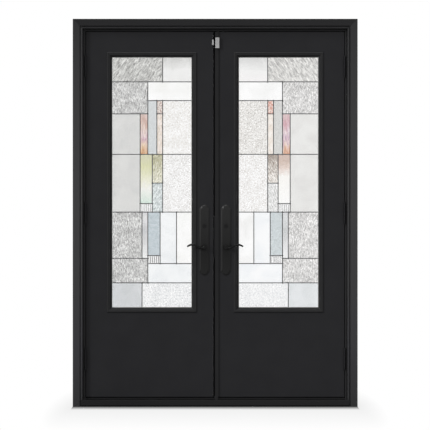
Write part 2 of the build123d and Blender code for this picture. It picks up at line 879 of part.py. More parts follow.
def plain_cylinder():
    """Outer key cylinder with a keyway; its face lies just inside the plate."""
    face = plate_front - 1
    barrel = round_y(lock_x, cylinder_height, cylinder_r, (face, -case_thickness / 2))
    groove = round_y(lock_x, cylinder_height, cylinder_r * 0.62, (face - 1, face + 1))
    inner = round_y(lock_x, cylinder_height, cylinder_r * 0.54, (face - 1, face + 1))
    keyway_y = (face - 1, face + keyway_height)
    keyway = block(span(lock_x, keyway_width), keyway_y, span(cylinder_height, keyway_height))
    return barrel - (groove - inner) - keyway


def ribbed_cylinder():
    """Through barrel of the fixed side with three upright ribs on its outer face."""
    face = plate_front - 1
    outer = round_y(lock_x, cylinder_height, cylinder_r, (face, -case_thickness / 2))
    inner = round_y(lock_x, cylinder_height, cylinder_r, (case_thickness / 2, -face))
    shaft = round_y(lock_x, cylinder_height, turn_shaft_r, (face, -face))
    ribs = []
    for n in (-1, 0, 1):
        x = span(lock_x + n * rib_pitch, keyway_width)
        ribs.append(block(x, (face - rib_rise, face), span(cylinder_height, rib_length - abs(n) * rib_step)))
    return join([outer, shaft, inner] + ribs)


def thumb_turn():
    """Inside turn: an oval wing on a shaft that reaches into the case."""
    face = -plate_front
    collar = face + turn_collar
    shaft = round_y(lock_x, cylinder_height, turn_shaft_r, (-case_thickness / 2 + touch, collar))
    base = round_y(lock_x, cylinder_height, cylinder_r, (case_thickness / 2 + touch, collar))
    wing_plane = Plane((lock_x, collar, cylinder_height), x_dir=(0, 0, 1), z_dir=(0, 1, 0))
    wing = extrude(wing_plane * SlotOverall(turn_length, turn_width), turn_proud - turn_collar)
    wing = chamfer(wing.faces().sort_by(Axis.Y)[-1].edges(), turn_edge)
    return join([shaft, base, wing])


def door_sweep(has_rods):
    """Body pressed up into the leaf, with fins that reach down to the tread."""
    x = (meeting_edge + skin + slip, hinge_edge - skin - slip)
    body = block(x, span(0, sweep_width), (leaf_bottom, leaf_bottom + sweep_height))
    room_z = (leaf_bottom - 1, leaf_bottom + sweep_height - sweep_wall)
    room = block(grown(x, 1), span(0, sweep_width - 2 * sweep_wall), room_z)
    pitch = (sweep_width - fin_thickness) / (fin_count - 1)
    fins = []
    for n in range(fin_count):
        y = -sweep_width / 2 + fin_thickness / 2 + n * pitch
        fins.append(block(x, span(y, fin_thickness), (tread_z + touch, leaf_bottom + sweep_height - touch)))
    sweep_piece = join([body - room] + fins)
    if has_rods:
        sweep_piece = sweep_piece - rod_bore((tread_z, leaf_bottom + sweep_height + 1))
    return sweep_piece


# Meeting of the leaves

def astragal():
    """Hollow T on the edge of the right leaf; its flange laps the leaf outside."""
    left = astragal_left
    z = (leaf_bottom, leaf_top)
    past = grown(z, 1)
    flange = block((left, astragal_right), (leaf_front - astragal_flange, leaf_front), z)
    body = block((left, meeting_edge), (leaf_front, leaf_back), z)
    wall = astragal_wall
    cavity = (left + wall, meeting_edge - wall)
    front_cell = block(cavity, (leaf_front + wall, -faceplate_width / 2), past)
    mid_cell = block(cavity, (-faceplate_width / 2 + wall, leaf_back - seal_depth - wall), past)
    flange_y = leaf_front - astragal_flange
    line_x = astragal_right - astragal_line_in
    groove = block(span(line_x, astragal_line), (flange_y - 1, flange_y + astragal_line_depth), past)
    seat = seal_seat()
    ways = strike_ways((left - 1, left + wall + 1))
    return cut(flange + body, [front_cell, mid_cell, groove, seat] + ways)


def strike_ways(x):
    """Openings in line with the latch and the dead bolt."""
    return [latch_way(x, 2 * slip), bolt_way(x, 2 * slip)]


def seal_stem(clearance):
    """Section of the seal's T-shaped stem, or of its groove, in x and y."""
    middle = leaf_back - seal_depth / 2
    half = stem_neck / 2
    neck = Rectangle(stem_neck + 2 * slip, stem_neck - 2 * clearance)
    head = Rectangle(stem_neck - 2 * clearance, 2 * stem_neck - 2 * clearance)
    return Pos(astragal_left + half - slip, middle) * neck + Pos(astragal_left + 3 * half, middle) * head


def seal_seat():
    """Groove at the back of the astragal for the stem of the seal."""
    return upright(seal_stem(0), 0, (leaf_bottom - 1, leaf_top + 1))


def astragal_seal():
    """Bulb across the gap above and below the strike, and a round-footed boot below the astragal."""
    left = astragal_left
    middle = leaf_back - seal_depth / 2
    reach = (-meeting_edge + seal_gap, left)
    strike_z = grown(case_z, strike_margin)
    pieces = []
    for z in ((leaf_bottom, strike_z[0] - touch), (strike_z[1] + touch, leaf_top)):
        width = reach[1] - reach[0]
        deep = seal_depth - seal_wall
        centre = Pos(reach[0] + width / 2, middle)
        bulb = centre * RectangleRounded(width, deep, deep / 3)
        inner = deep - 2 * seal_wall
        hollow = centre * RectangleRounded(width - 2 * seal_wall, inner, inner / 3)
        pieces.append(upright(bulb - hollow + seal_stem(slip), 0, z))
    boot_x = left + boot_middle
    boot_back = min(cap_front, leaf_front - astragal_flange) - touch
    low = sill_height + touch
    boot_y = (boot_back - boot_thickness, boot_back)
    foot = block(span(boot_x, boot_width), boot_y, (low, leaf_bottom + boot_lap))
    foot = fillet(foot.edges().filter_by(Axis.Y).group_by(Axis.Z)[0], boot_width * 0.4)
    pieces.append(foot)
    return pieces


def strike_plate():
    """Block on the astragal that brings the strike close to the left leaf."""
    left = astragal_left
    body = block((strike_x, left), span(0, strike_width), grown(case_z, strike_margin))
    body = chamfer(body.edges().filter_by(Axis.Z).group_by(Axis.X)[0], 2)
    return cut(body, strike_ways((strike_x - 1, left + 1)))


def shoot_bolt(up):
    """Round rod from the lock case to the end of the leaf, with a coned tip."""
    if up > 0:
        ends = (case_z[1] - shoot_bolt_in_case, leaf_top - touch)
    else:
        ends = (leaf_bottom + touch, case_z[0] + shoot_bolt_in_case)
    rod = round_z(rod_x, 0, shoot_bolt_r, ends)
    tip = rod.edges().filter_by(GeomType.CIRCLE).sort_by(Axis.Z)[-1 if up > 0 else 0]
    return chamfer(tip, shoot_bolt_r / 4)


def contact_sensor():
    """Housing astride the astragal flange and the right leaf."""
    left = astragal_left + sensor_set_in
    flange_y = leaf_front - astragal_flange
    front = flange_y - sensor_depth
    z = span(device_height, sensor_height)
    body = block((left, left + sensor_width), (front, leaf_front), z)
    body = chamfer(body.faces().sort_by(Axis.Y)[0].edges(), device_edge)
    body = body - block((left - 1, astragal_right), (flange_y, leaf_front + 1), grown(z, 1))
    slot_z = span(device_height, sensor_height - 2 * device_slot)
    slot = block(span(left + sensor_width / 2, device_slot), (front - 1, front + device_edge / 2), slot_z)
    return body - slot


def contact_magnet():
    right = meeting_edge - magnet_overhang
    z = span(device_height + magnet_up, magnet_height)
    body = block((right, right + magnet_width), (leaf_front - magnet_depth, leaf_front), z)
    return chamfer(body.faces().sort_by(Axis.Y)[0].edges(), device_edge)


def inside(shape):
    """The same piece on the inner face of the leaf."""
    return mirror(shape, about=Plane.XZ)


def frame_nodes():
    hinges_right = [hinge_half(z, False) for z in hinge_heights]
    pins_right = [hinge_pin(z) for z in hinge_heights]
    return {
        "right_jamb": [side_jamb()],
        "left_jamb": [on_side(side_jamb(), -1)],
        "head_jamb": [head_jamb()],
        "right_brickmould": [casing_leg()],
        "left_brickmould": [on_side(casing_leg(), -1)],
        "head_brickmould": [casing_head()],
        "sill": [sill()],
        "sill_cap": [sill_cap()],
        "weatherstrips": weatherstrips(),
        "frame_hinge_leaves": hinges_right + [on_side(h, -1) for h in hinges_right],
        "hinge_pins": pins_right + [on_side(p, -1) for p in pins_right],
        "bolt_keepers": bolt_keepers(),
    }


def leaf_nodes():
    """The pieces that both leaves have, drawn for the right one."""
    return {
        "outer_skin": [outer_skin()],
        "inner_skin": [inside(outer_skin())],
        "core": [core()],
        "outer_lite_frame": [lite_frame()],
        "inner_lite_frame": [inside(lite_frame())],
        "glass_panes": glass_panes(),
        "came": [came()],
        "textured_glass": [flat_glass(c) for c in heavy_cells + faint_cells],
        "clear_glass": [flat_glass(c) for c in clear_cells],
        "coloured_glass": [flat_glass(c) for c in tinted_cells] + [reeded_glass(c) for c in reeded_cells],
        "door_hinge_leaves": [hinge_half(z, True) for z in hinge_heights],
        "outer_escutcheon": [escutcheon()],
        "inner_escutcheon": [inside(escutcheon())],
        "outer_lever": [lever(True)],
        "inner_lever": [inside(lever(False))],
    }


def own_nodes():
    """The pieces that only one leaf has, or that differ, each with its side."""
    return {
        "left_edge_frame": (edge_frame(False), -1),
        "right_edge_frame": (edge_frame(True), 1),
        "left_lock_case": ([lock_case(True)], -1),
        "right_lock_case": ([lock_case(False)], 1),
        "left_cylinder": ([plain_cylinder()], -1),
        "right_cylinder": ([ribbed_cylinder()], 1),
        "left_sweep": ([door_sweep(False)], -1),
        "right_sweep": ([door_sweep(True)], 1),
        "left_latch_bolt": ([latch_bolt()], -1),
        "left_dead_bolt": ([dead_bolt()], -1),
        "left_thumb_turn": ([thumb_turn()], -1),
        "contact_magnet": ([contact_magnet()], -1),
        "contact_sensor": ([contact_sensor()], 1),
        "astragal": ([astragal()], 1),
        "astragal_seal": (astragal_seal(), 1),
        "strike_plate": ([strike_plate()], 1),
        "top_shoot_bolt": ([shoot_bolt(1)], 1),
        "bottom_shoot_bolt": ([shoot_bolt(-1)], 1),
    }


def write(name, solids):
    pieces = [solid for shape in solids for solid in shape.solids()]
    shape = pieces[0] if len(pieces) == 1 else Compound(children=pieces)
    export_step(shape, os.path.join("parts", name + ".step"))


def main():
    os.makedirs("parts", exist_ok=True)
    for name, solids in frame_nodes().items():
        write(name, solids)
    for name, solids in leaf_nodes().items():
        write("right_" + name, solids)
        write("left_" + name, [on_side(shape, -1) for shape in solids])
    for name, (solids, side) in own_nodes().items():
        write(name, [on_side(shape, side) for shape in solids])


main()
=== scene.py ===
import math

import bpy
import numpy as np
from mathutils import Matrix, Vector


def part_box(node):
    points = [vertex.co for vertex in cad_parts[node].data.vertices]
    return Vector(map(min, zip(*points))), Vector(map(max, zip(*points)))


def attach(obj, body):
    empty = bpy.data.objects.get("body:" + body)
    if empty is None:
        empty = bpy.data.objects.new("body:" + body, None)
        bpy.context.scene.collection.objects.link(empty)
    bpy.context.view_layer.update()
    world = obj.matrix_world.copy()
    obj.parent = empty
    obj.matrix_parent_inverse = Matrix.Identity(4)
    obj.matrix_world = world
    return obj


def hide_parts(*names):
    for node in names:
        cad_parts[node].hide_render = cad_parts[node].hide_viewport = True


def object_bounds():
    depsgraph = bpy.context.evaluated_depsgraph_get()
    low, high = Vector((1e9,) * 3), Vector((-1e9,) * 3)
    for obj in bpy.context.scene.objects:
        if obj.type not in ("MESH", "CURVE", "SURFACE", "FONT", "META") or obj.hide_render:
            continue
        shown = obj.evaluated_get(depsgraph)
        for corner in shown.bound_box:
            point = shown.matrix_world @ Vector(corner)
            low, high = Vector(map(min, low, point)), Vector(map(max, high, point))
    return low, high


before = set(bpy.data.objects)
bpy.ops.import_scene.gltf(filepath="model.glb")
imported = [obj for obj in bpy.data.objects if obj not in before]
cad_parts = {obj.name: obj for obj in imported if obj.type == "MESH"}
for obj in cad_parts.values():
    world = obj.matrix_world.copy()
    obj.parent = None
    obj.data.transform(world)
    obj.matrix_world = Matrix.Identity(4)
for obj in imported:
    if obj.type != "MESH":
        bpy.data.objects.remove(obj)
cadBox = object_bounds()
mm = 0.001
sides = {"left": -1, "right": 1}


def linearColour(hexText):
    # each sRGB channel c is c / 12.92 up to 0.04045, and ((c + 0.055) / 1.055) to the power 2.4 above it
    channels = [int(hexText[i:i + 2], 16) / 255 for i in (1, 3, 5)]
    return [c / 12.92 if c <= 0.04045 else ((c + 0.055) / 1.055) ** 2.4 for c in channels] + [1.0]


def addNode(owner, kind, settings=None, links=None):
    # settings are the node's own attributes or its sockets' values, links are socket: output it is fed from
    tree = owner.node_tree
    node = tree.nodes.new(kind)
    for name, value in (settings or {}).items():
        if name == "stops":
            while len(node.color_ramp.elements) < len(value):
                node.color_ramp.elements.new(0.5)
            for element, (place, colour) in zip(node.color_ramp.elements, value):
                element.position = place
                element.color = linearColour(colour)
        elif isinstance(name, int) or name in node.inputs:
            node.inputs[name].default_value = value
        else:
            setattr(node, name, value)
    for name, source in (links or {}).items():
        tree.links.new(source, node.inputs[name])
    return node


def newMaterial(name, colour, roughness, metallic=0.0, **sockets):
    # the constants go straight to the shader's sockets; an underscore in a name stands for a space
    material = bpy.data.materials.new(name)
    material.use_nodes = True
    shader = material.node_tree.nodes["Principled BSDF"]
    shader.inputs["Base Color"].default_value = linearColour(colour)
    shader.inputs["Roughness"].default_value = roughness
    shader.inputs["Metallic"].default_value = metallic
    for socket, value in sockets.items():
        shader.inputs[socket.replace("_", " ")].default_value = value
    return material, shader


def grainOf(material, sizeMm, stretch=(1, 1, 1), detail=3.0, distortion=0.0, turn=(0, 0, 0)):
    # noise whose lumps are sizeMm across, drawn out by stretch along axes that are turned first
    place = addNode(material, "ShaderNodeTexCoord")
    size = [sizeMm * mm * s for s in stretch]
    spread = addNode(material, "ShaderNodeMapping",
                     {"vector_type": "TEXTURE", "Scale": size, "Rotation": turn},
                     {"Vector": place.outputs["Object"]})
    return addNode(material, "ShaderNodeTexNoise", {"Scale": 1.0, "Detail": detail, "Distortion": distortion},
                   {"Vector": spread.outputs[0]})


def shadeBetween(material, shader, pattern, stops):
    # the base colour goes from stop to stop as the pattern goes from 0 to 1
    ramp = addNode(material, "ShaderNodeValToRGB", {"stops": stops}, {"Fac": pattern.outputs[0]})
    material.node_tree.links.new(ramp.outputs["Color"], shader.inputs["Base Color"])


def bumpFrom(material, shader, pattern, depthMm):
    # the light feels the pattern as a height of depthMm times its value
    bump = addNode(material, "ShaderNodeBump", {"Distance": depthMm * mm, "Strength": 1.0},
                   {"Height": pattern.outputs[0]})
    material.node_tree.links.new(bump.outputs["Normal"], shader.inputs["Normal"])


def roughBetween(material, shader, pattern, low, high):
    # roughness goes from low to high as the pattern goes from 0.3 to 0.7
    spread = addNode(material, "ShaderNodeMapRange",
                     {"From Min": 0.3, "From Max": 0.7, "To Min": low, "To Max": high},
                     {"Value": pattern.outputs[0]})
    material.node_tree.links.new(spread.outputs[0], shader.inputs["Roughness"])


satin = {"roughness": (0.4, 0.5), "gloss": 0.1, "driftMm": 140, "paintedLightBreakUp": 0.12, "uprightPeelMm": 3.2}
alongUp, alongX = (1, 1, 6), (6, 1, 1)  # brush marks and drawn lines are six times longer than wide


def paintedSurface(name, colour, lighter, peelMm=2.6, peelDepth=0.03, stretch=(1, 1, 1)):
    # baked or sprayed satin paint: a faint orange peel, and a sheen that drifts over a hand's width
    material, shader = newMaterial(name, colour, satin["roughness"][0], Specular_IOR_Level=satin["gloss"])
    drift = grainOf(material, satin["driftMm"], stretch, detail=2)
    shadeBetween(material, shader, drift, [(0.3, colour), (0.7, lighter)])
    roughBetween(material, shader, drift, *satin["roughness"])
    bumpFrom(material, shader, grainOf(material, peelMm, stretch, detail=1), peelDepth)
    return material


def wayUp(material, limits):
    # 0 at the lower limit of height, 1 at the upper
    place = addNode(material, "ShaderNodeTexCoord")
    parts = addNode(material, "ShaderNodeSeparateXYZ", links={"Vector": place.outputs["Object"]})
    return addNode(material, "ShaderNodeMapRange", {"From Min": limits[0], "From Max": limits[1]},
                   {"Value": parts.outputs["Z"]})


def pushed(material, base, pattern, amount):
    # base + amount * (pattern - 0.5), held between 0 and 1
    part = addNode(material, "ShaderNodeMath", {"operation": "MULTIPLY_ADD", 1: amount, 2: -amount / 2},
                   {0: pattern.outputs[0]})
    return addNode(material, "ShaderNodeMath", {"operation": "ADD", "use_clamp": True},
                   {0: base.outputs[0], 1: part.outputs[0]})


def paintedLightSurface(name, stops, height):
    # satin paint on the upright casings, with painted light: palest at mid height where the light falls
    # strongest, darker towards the floor and the top; the stops are its tones from the floor up
    material, shader = newMaterial(name, stops[0][1], satin["roughness"][0],
                                   Specular_IOR_Level=satin["gloss"])
    drift = grainOf(material, satin["driftMm"], alongUp, detail=2)
    up = pushed(material, wayUp(material, (0, height)), drift, satin["paintedLightBreakUp"])
    shadeBetween(material, shader, up, stops)
    roughBetween(material, shader, drift, *satin["roughness"])
    bumpFrom(material, shader, grainOf(material, satin["uprightPeelMm"], alongUp, detail=1), 0.03)
    return material


def metalSurface(name, dark, light, roughness, sizeMm, stretch=(1, 1, 1)):
    # bare or patinated metal: tone and sheen wander together, with fine lines where it was drawn or brushed
    material, shader = newMaterial(name, dark, roughness[0], metallic=1.0)
    grain = grainOf(material, sizeMm, stretch, detail=4)
    shadeBetween(material, shader, grain, [(0.32, dark), (0.68, light)])
    roughBetween(material, shader, grain, *roughness)
    bumpFrom(material, shader, grain, 0.01)
    return material


def lacquerWithPaintedLight(name, stops, limits, roughness, gloss):
    # black lacquer over cast brass: smooth and deep; the stops are its tones from the lower limit of height
    # to the upper, painted light and shade: a painted shadow under the lever and darker lower down on the
    # plate, a painted highlight along the lever's top; a little uneven where hands have polished it
    material, shader = newMaterial(name, stops[0][1], roughness[0], Specular_IOR_Level=gloss)
    touched = grainOf(material, 45, detail=3, distortion=0.4)
    shadeBetween(material, shader, pushed(material, wayUp(material, limits), touched, 0.2), stops)
    roughBetween(material, shader, touched, *roughness)
    bumpFrom(material, shader, grainOf(material, 1.4, detail=2), 0.008)
    return material


def woodSurface(name, dark, light):
    # pine under satin paint: the grain still shows as fine upright lines
    material, shader = newMaterial(name, dark, 0.5, Specular_IOR_Level=0.1)
    grain = grainOf(material, 3, (1, 1, 40), detail=4)
    shadeBetween(material, shader, grain, [(0.35, dark), (0.65, light)])
    roughBetween(material, shader, grain, 0.5, 0.6)
    bumpFrom(material, shader, grain, 0.06)
    return material


def foamSurface():
    # poured polyurethane foam: cream, dull, with open cells about a millimetre across
    material, shader = newMaterial("pouredFoam", "#d8c79c", 0.9)
    cells = grainOf(material, 1.6, detail=2)
    shadeBetween(material, shader, cells, [(0.3, "#b9a676"), (0.65, "#e0d1aa")])
    bumpFrom(material, shader, cells, 0.5)
    return material


def rubberSurface(name, colour, bloomed, gloss=0.05):
    # extruded rubber, vinyl or sealant: matt, with a dusty bloom in patches
    material, shader = newMaterial(name, colour, 0.7, Specular_IOR_Level=gloss)
    shadeBetween(material, shader, grainOf(material, 30, detail=4), [(0.35, colour), (0.75, bloomed)])
    bumpFrom(material, shader, grainOf(material, 0.8, detail=2), 0.05)
    return material


def plasticSurface(name, colour, lighter, roughness, gloss):
    # injection-moulded plastic: even colour with the fine spark-eroded grain of its mould
    material, shader = newMaterial(name, colour, roughness, Specular_IOR_Level=gloss)
    shadeBetween(material, shader, grainOf(material, 60, detail=2), [(0.3, colour), (0.7, lighter)])
    bumpFrom(material, shader, grainOf(material, 1.0, detail=2), 0.03)
    return material


# painted light and shade by height: on the plate a painted shadow at the lever and below it, on the lever a
# painted highlight along its top
lacquerLightAndShade = {"plate": [(0.0, "#151515"), (0.35, "#0b0b0b"), (0.6, "#191919"), (1.0, "#222222")],
           "lever": [(0.0, "#020202"), (0.6, "#040404"), (0.85, "#101010"), (1.0, "#2c2c2c")]}
(plateLow, plateHigh), (leverLow, leverHigh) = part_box("left_outer_escutcheon"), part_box("left_outer_lever")
# painted light on the upright casings: tones from the floor up, palest at mid height
uprightLightStops = [(0.0, "#2f2f30"), (0.15, "#37373a"), (0.32, "#3a3a3b"), (0.5, "#3d3d3e"), (0.72, "#3b3b3c"),
         (0.88, "#363637"), (1.0, "#2f2f30")]
finishes = {
    "leafPaint": paintedSurface("bakedPaintOnSteel", "#202022", "#232325"),
    "casingUprightPaint": paintedLightSurface("satinPaintOnUprightCasing", uprightLightStops, cadBox[1].z),
    # painted shade: the head casing has the uprights' paint in a darker tone, for the lesser light that falls
    # on it
    "casingHeadShadedPaint": paintedSurface("shadedSatinPaintOnHeadCasing", "#1f1f20", "#232324", 3.2, stretch=alongX),
    "jambPaint": paintedSurface("satinPaintOnJamb", "#252526", "#29292a", 3.2, stretch=alongUp),
    "edgeWood": woodSurface("paintedPine", "#121213", "#1c1c1d"),
    "foam": foamSurface(),
    "litePlastic": plasticSurface("mouldedComposite", "#1e1e1f", "#212122", 0.42, 0.12),
    "cameZinc": metalSurface("patinatedZinc", "#303133", "#4e5052", (0.45, 0.6), 8),
    "plateLacquer": lacquerWithPaintedLight("plateLacquerWithPaintedShade", lacquerLightAndShade["plate"], (plateLow.z, plateHigh.z),
                                   (0.34, 0.42), 0.15),
    "leverLacquer": lacquerWithPaintedLight("leverLacquerWithPaintedHighlight", lacquerLightAndShade["lever"], (leverLow.z, leverHigh.z),
                                   (0.22, 0.32), 0.14),
    "cylinderBronze": metalSurface("turnedBronze", "#19191a", "#252525", (0.3, 0.42), 3),
    "hingeSteel": metalSurface("blackenedSteel", "#19191b", "#262627", (0.35, 0.5), 6),
    "brightSteel": metalSurface("brushedZincPlate", "#8a8c8e", "#b4b6b8", (0.28, 0.42), 1.5, (1, 1, 30)),
    "sealRubber": rubberSurface("extrudedRubber", "#0a0a0a", "#141414"),
    "astragalRubber": rubberSurface("greyRubber", "#242425", "#242425", 0.08),
    # pale grey sealant: a painted glow along the edge of the glass
    "glazingSealantPaintedGlow": rubberSurface("glazingSealantPaintedGlow", "#b0b0ae", "#bcbcba"),
    # black insert in the astragal groove: a painted shadow line
    "shadowLineVinyl": rubberSurface("paintedShadowInsert", "#060606", "#0b0b0b"),
    "sweepVinyl": rubberSurface("softVinyl", "#090909", "#121212"),
    "sillPaint": paintedSurface("powderCoatOnSill", "#1b1b1c", "#1f1f20", 1.8, 0.02, stretch=alongX),
    "astragalPaint": paintedSurface("powderCoatOnAstragal", "#1e1e1f", "#212122", 1.8, 0.02),
    "greyPlastic": plasticSurface("greyMouldedPlastic", "#a5a5a5", "#adadad", 0.5, 0.2),
}

nodeFinish = {
    "leafPaint": ["{0}_outer_skin", "{0}_inner_skin"],
    "edgeWood": ["{0}_edge_frame"],
    "foam": ["{0}_core"],
    "litePlastic": ["{0}_outer_lite_frame", "{0}_inner_lite_frame"],
    "cameZinc": ["{0}_came"],
    "plateLacquer": ["{0}_outer_escutcheon", "{0}_inner_escutcheon"],
    "leverLacquer": ["{0}_outer_lever", "{0}_inner_lever", "left_thumb_turn"],
    "cylinderBronze": ["{0}_cylinder"],
    "hingeSteel": ["{0}_door_hinge_leaves", "frame_hinge_leaves", "hinge_pins", "{0}_lock_case",
                   "strike_plate", "left_latch_bolt", "left_dead_bolt"],
    "brightSteel": ["top_shoot_bolt", "bottom_shoot_bolt", "bolt_keepers"],
    "sealRubber": ["weatherstrips"],
    "astragalRubber": ["astragal_seal"],
    "sweepVinyl": ["{0}_sweep"],
    "sillPaint": ["sill", "sill_cap"],
    "astragalPaint": ["astragal"],
    "greyPlastic": ["contact_sensor", "contact_magnet"],
    "casingUprightPaint": ["{0}_brickmould"],
    "casingHeadShadedPaint": ["head_brickmould"],
    "jambPaint": ["{0}_jamb", "head_jamb"],
}


def dress(node, material):
    # the node's solid gets this one material
    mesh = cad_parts[node].data
    mesh.materials.clear()
    mesh.materials.append(material)


for finish, patterns in nodeFinish.items():
    for pattern in patterns:
        for node in sorted({pattern.format(side) for side in sides}):
            dress(node, finishes[finish])
print("finishes on the metal, wood and plastic parts")


def glassMaterial(name, colour):
    # soda glass in the leaded panel: clear, bright, with a soft gloss where the waves catch the light
    return newMaterial(name, colour, 0.03, Transmission_Weight=1.0, IOR=1.45, Specular_IOR_Level=0.25)


def artGlass(name, dark, light, grainMm, window=(0.35, 0.65), stretch=(1, 1, 1), lean=0.0, depthMm=0.3,
             distortion=0.6, drift=0.0, paling=0.0, limits=(0, 1)):
    # rolled or hand-made sheet: the darker and lighter marks along its waves are painted into its colour, as
    # painted shade and painted highlight for the light the waves bend; drift lets whole patches grow paler,
    # paling does so towards the bottom of the cell
    material, shader = glassMaterial(name, light)
    waves = grainOf(material, grainMm, stretch, detail=3, distortion=distortion, turn=(0, lean, 0))
    bumpFrom(material, shader, waves, depthMm)
    pattern = waves
    if drift:
        pattern = pushed(material, pattern, grainOf(material, 60, detail=1), drift)
    if paling:
        pattern = pushed(material, pattern, wayUp(material, limits), -paling)
    shadeBetween(material, shader, pattern, [(window[0], dark), (window[1], light)])
    return material


def gradedGlass(name, stops, limits, breakUp=0.12, grainMm=22, stretch=(1, 1, 2)):
    # iridised sheet: the film's colour runs up the cell, stops are shares of the way between the limits,
    # and slow waves push the bands to and fro by breakUp
    material, shader = glassMaterial(name, stops[0][1])
    waves = grainOf(material, grainMm, stretch, detail=2, distortion=0.8)
    shadeBetween(material, shader, pushed(material, wayUp(material, limits), waves, breakUp), stops)
    bumpFrom(material, shader, waves, 0.2)
    return material


def reededGlass(name, dark, light, pitchMm):
    # round reeds: painted shade in their valleys stands in for the light the reeds bend, a wave along x, one
    # period to a reed; it dies out with the sheet's own rim value beside the cames
    material, shader = glassMaterial(name, light)
    place = addNode(material, "ShaderNodeTexCoord")
    period = 2 * math.pi / (20 * pitchMm * mm)  # bands of scale s lie 2 pi / (20 s) apart
    reeds = addNode(material, "ShaderNodeTexWave",
                    {"bands_direction": "X", "Scale": period, "Distortion": 0.0},
                    {"Vector": place.outputs["Object"]})
    rim = addNode(material, "ShaderNodeAttribute", {"attribute_name": "rim"})
    plain = addNode(material, "ShaderNodeMath", {"operation": "SUBTRACT", 0: 1.0}, {1: rim.outputs["Fac"]})
    seen = addNode(material, "ShaderNodeMath", {"operation": "MAXIMUM"},
                   {0: reeds.outputs["Fac"], 1: plain.outputs[0]})
    shadeBetween(material, shader, seen, [(0.1, dark), (0.75, light)])
    return material


glassPlan = {
    "columns": (0.0, 0.353, 0.377, 0.45, 0.505, 0.563, 0.604, 0.636, 0.81, 1.0),  # from the hinge side
    "rows": (0.0, 0.098, 0.173, 0.226, 0.388, 0.503, 0.585, 0.619, 0.793, 0.804, 0.825, 0.902,
             1.0),  # from the top
    "thickness": 4 * mm,
    "border": 14 * mm,  # how far the outermost came runs in behind the lite frame
    "halfCame": 3 * mm,
    "cameReach": 0.9 * mm,  # from the middle of a came to the edge of the glass in its channel
    "fade": 7 * mm,  # waves die out over this much beside a came
    "backWaves": 0.6,  # how deep the back's waves are beside the front's
    "seed": 7,  # of the first sheet's waves
    "seedStep": 10,  # from one material's sheets to the next
    "backSeed": 50,  # from a sheet's front to its back
    "reeds": 6,  # to a reeded cell
    "reedPitchMm": 13.6,
}
panel = {side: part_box(side + "_came") for side in sides}


def cameLines(shares, start, end):
    # line n lies a share of the way from start to end; the outermost two lie half a came further out
    lines = start + np.array(shares) * (end - start)
    lines[[0, -1]] += np.array([-1, 1]) * glassPlan["halfCame"] * np.sign(end - start)
    return lines


def panelLines(side):
    # columns run from the hinge side to the meeting side, rows from the top down
    low, high = panel[side]
    border = glassPlan["border"]
    hinge, meeting = high.x - border, low.x + border
    if sides[side] < 0:
        hinge, meeting = meeting, hinge
    return (cameLines(glassPlan["columns"], hinge, meeting),
            cameLines(glassPlan["rows"], high.z - border, low.z + border))


def cellLimits(side, cell):
    # lowest and highest x, then z, between the middles of the cames round a cell
    columns, rows = panelLines(side)
    return sorted(float(columns[n]) for n in cell[:2]), sorted(float(rows[n]) for n in cell[2:])


ripple = {"wavesMm": (34, 26, 20, 15, 12, 9), "bend": 1.6, "bendLength": 2.3, "tame": 4}


def rippleHeight(x, z, seed):
    # sum of sine waves, each turned another way, bent by a longer wave across it and as high as the root of
    # its length beside the longest, all brought down to about 1
    rng = np.random.default_rng(seed)
    total = np.zeros_like(x)
    longest = ripple["wavesMm"][0]
    for waveMm in ripple["wavesMm"]:
        angle, phase, bendPhase = rng.uniform(0, 2 * math.pi, 3)
        along = x * math.cos(angle) + z * math.sin(angle)
        across = z * math.cos(angle) - x * math.sin(angle)
        bendLength = ripple["bendLength"] * waveMm * mm
        bend = ripple["bend"] * np.sin(2 * math.pi * across / bendLength + bendPhase)
        total += (waveMm / longest) ** 0.5 * np.sin(2 * math.pi * along / (waveMm * mm) + phase + bend)
    return total / ripple["tame"]


def flatHeight(x, z, seed):
    # drawn sheet has no waves to speak of: the height is 0 everywhere
    return np.zeros_like(x)


def reedHeight(x, z, seed):
    # upright half-round reeds side by side across the cell: the height is that of a circle over its chord
    count = glassPlan["reeds"]
    share = (x - x.min()) / (x.max() - x.min()) * count
    across = 2 * (share - np.floor(np.minimum(share, count - 0.001))) - 1
    return np.sqrt(np.clip(1 - across ** 2, 0, 1)) - 0.5


def glassSheet(xs, zs, height, depth, spacing, seed):
    # two grids, front and back, at half the thickness plus the height function, faded out beside the cames,
    # with a row of walls round the rim; returns points, four-cornered faces and the fade at each point
    inset = glassPlan["cameReach"]
    x0, x1, z0, z1 = xs[0] + inset, xs[1] - inset, zs[0] + inset, zs[1] - inset
    countX = max(2, int(round((x1 - x0) / spacing[0])) + 1)
    countZ = max(2, int(round((z1 - z0) / spacing[1])) + 1)
    x, z = np.meshgrid(np.linspace(x0, x1, countX), np.linspace(z0, z1, countZ))
    rim = np.minimum(np.minimum(x - x0, x1 - x), np.minimum(z - z0, z1 - z))
    fade = np.clip(rim / glassPlan["fade"], 0, 1)
    fade = fade * fade * (3 - 2 * fade)
    half = glassPlan["thickness"] / 2
    front = -half - depth * height(x, z, seed) * fade
    back = half + glassPlan["backWaves"] * depth * height(x, z, seed + glassPlan["backSeed"]) * fade
    points = np.concatenate([np.stack([x, y, z], -1).reshape(-1, 3) for y in (front, back)])
    index = np.arange(countX * countZ).reshape(countZ, countX)
    quads = np.stack([index[:-1, :-1], index[:-1, 1:], index[1:, 1:], index[1:, :-1]], -1).reshape(-1, 4)
    ring = np.concatenate([index[0, :-1], index[:-1, -1], index[-1, :0:-1], index[:0:-1, 0]])
    ahead = np.roll(ring, -1)
    shift = countX * countZ
    wall = np.stack([ring, ring + shift, ahead + shift, ahead], -1)
    return points, np.concatenate([quads, quads[:, ::-1] + shift, wall]), np.tile(fade.ravel(), 2)


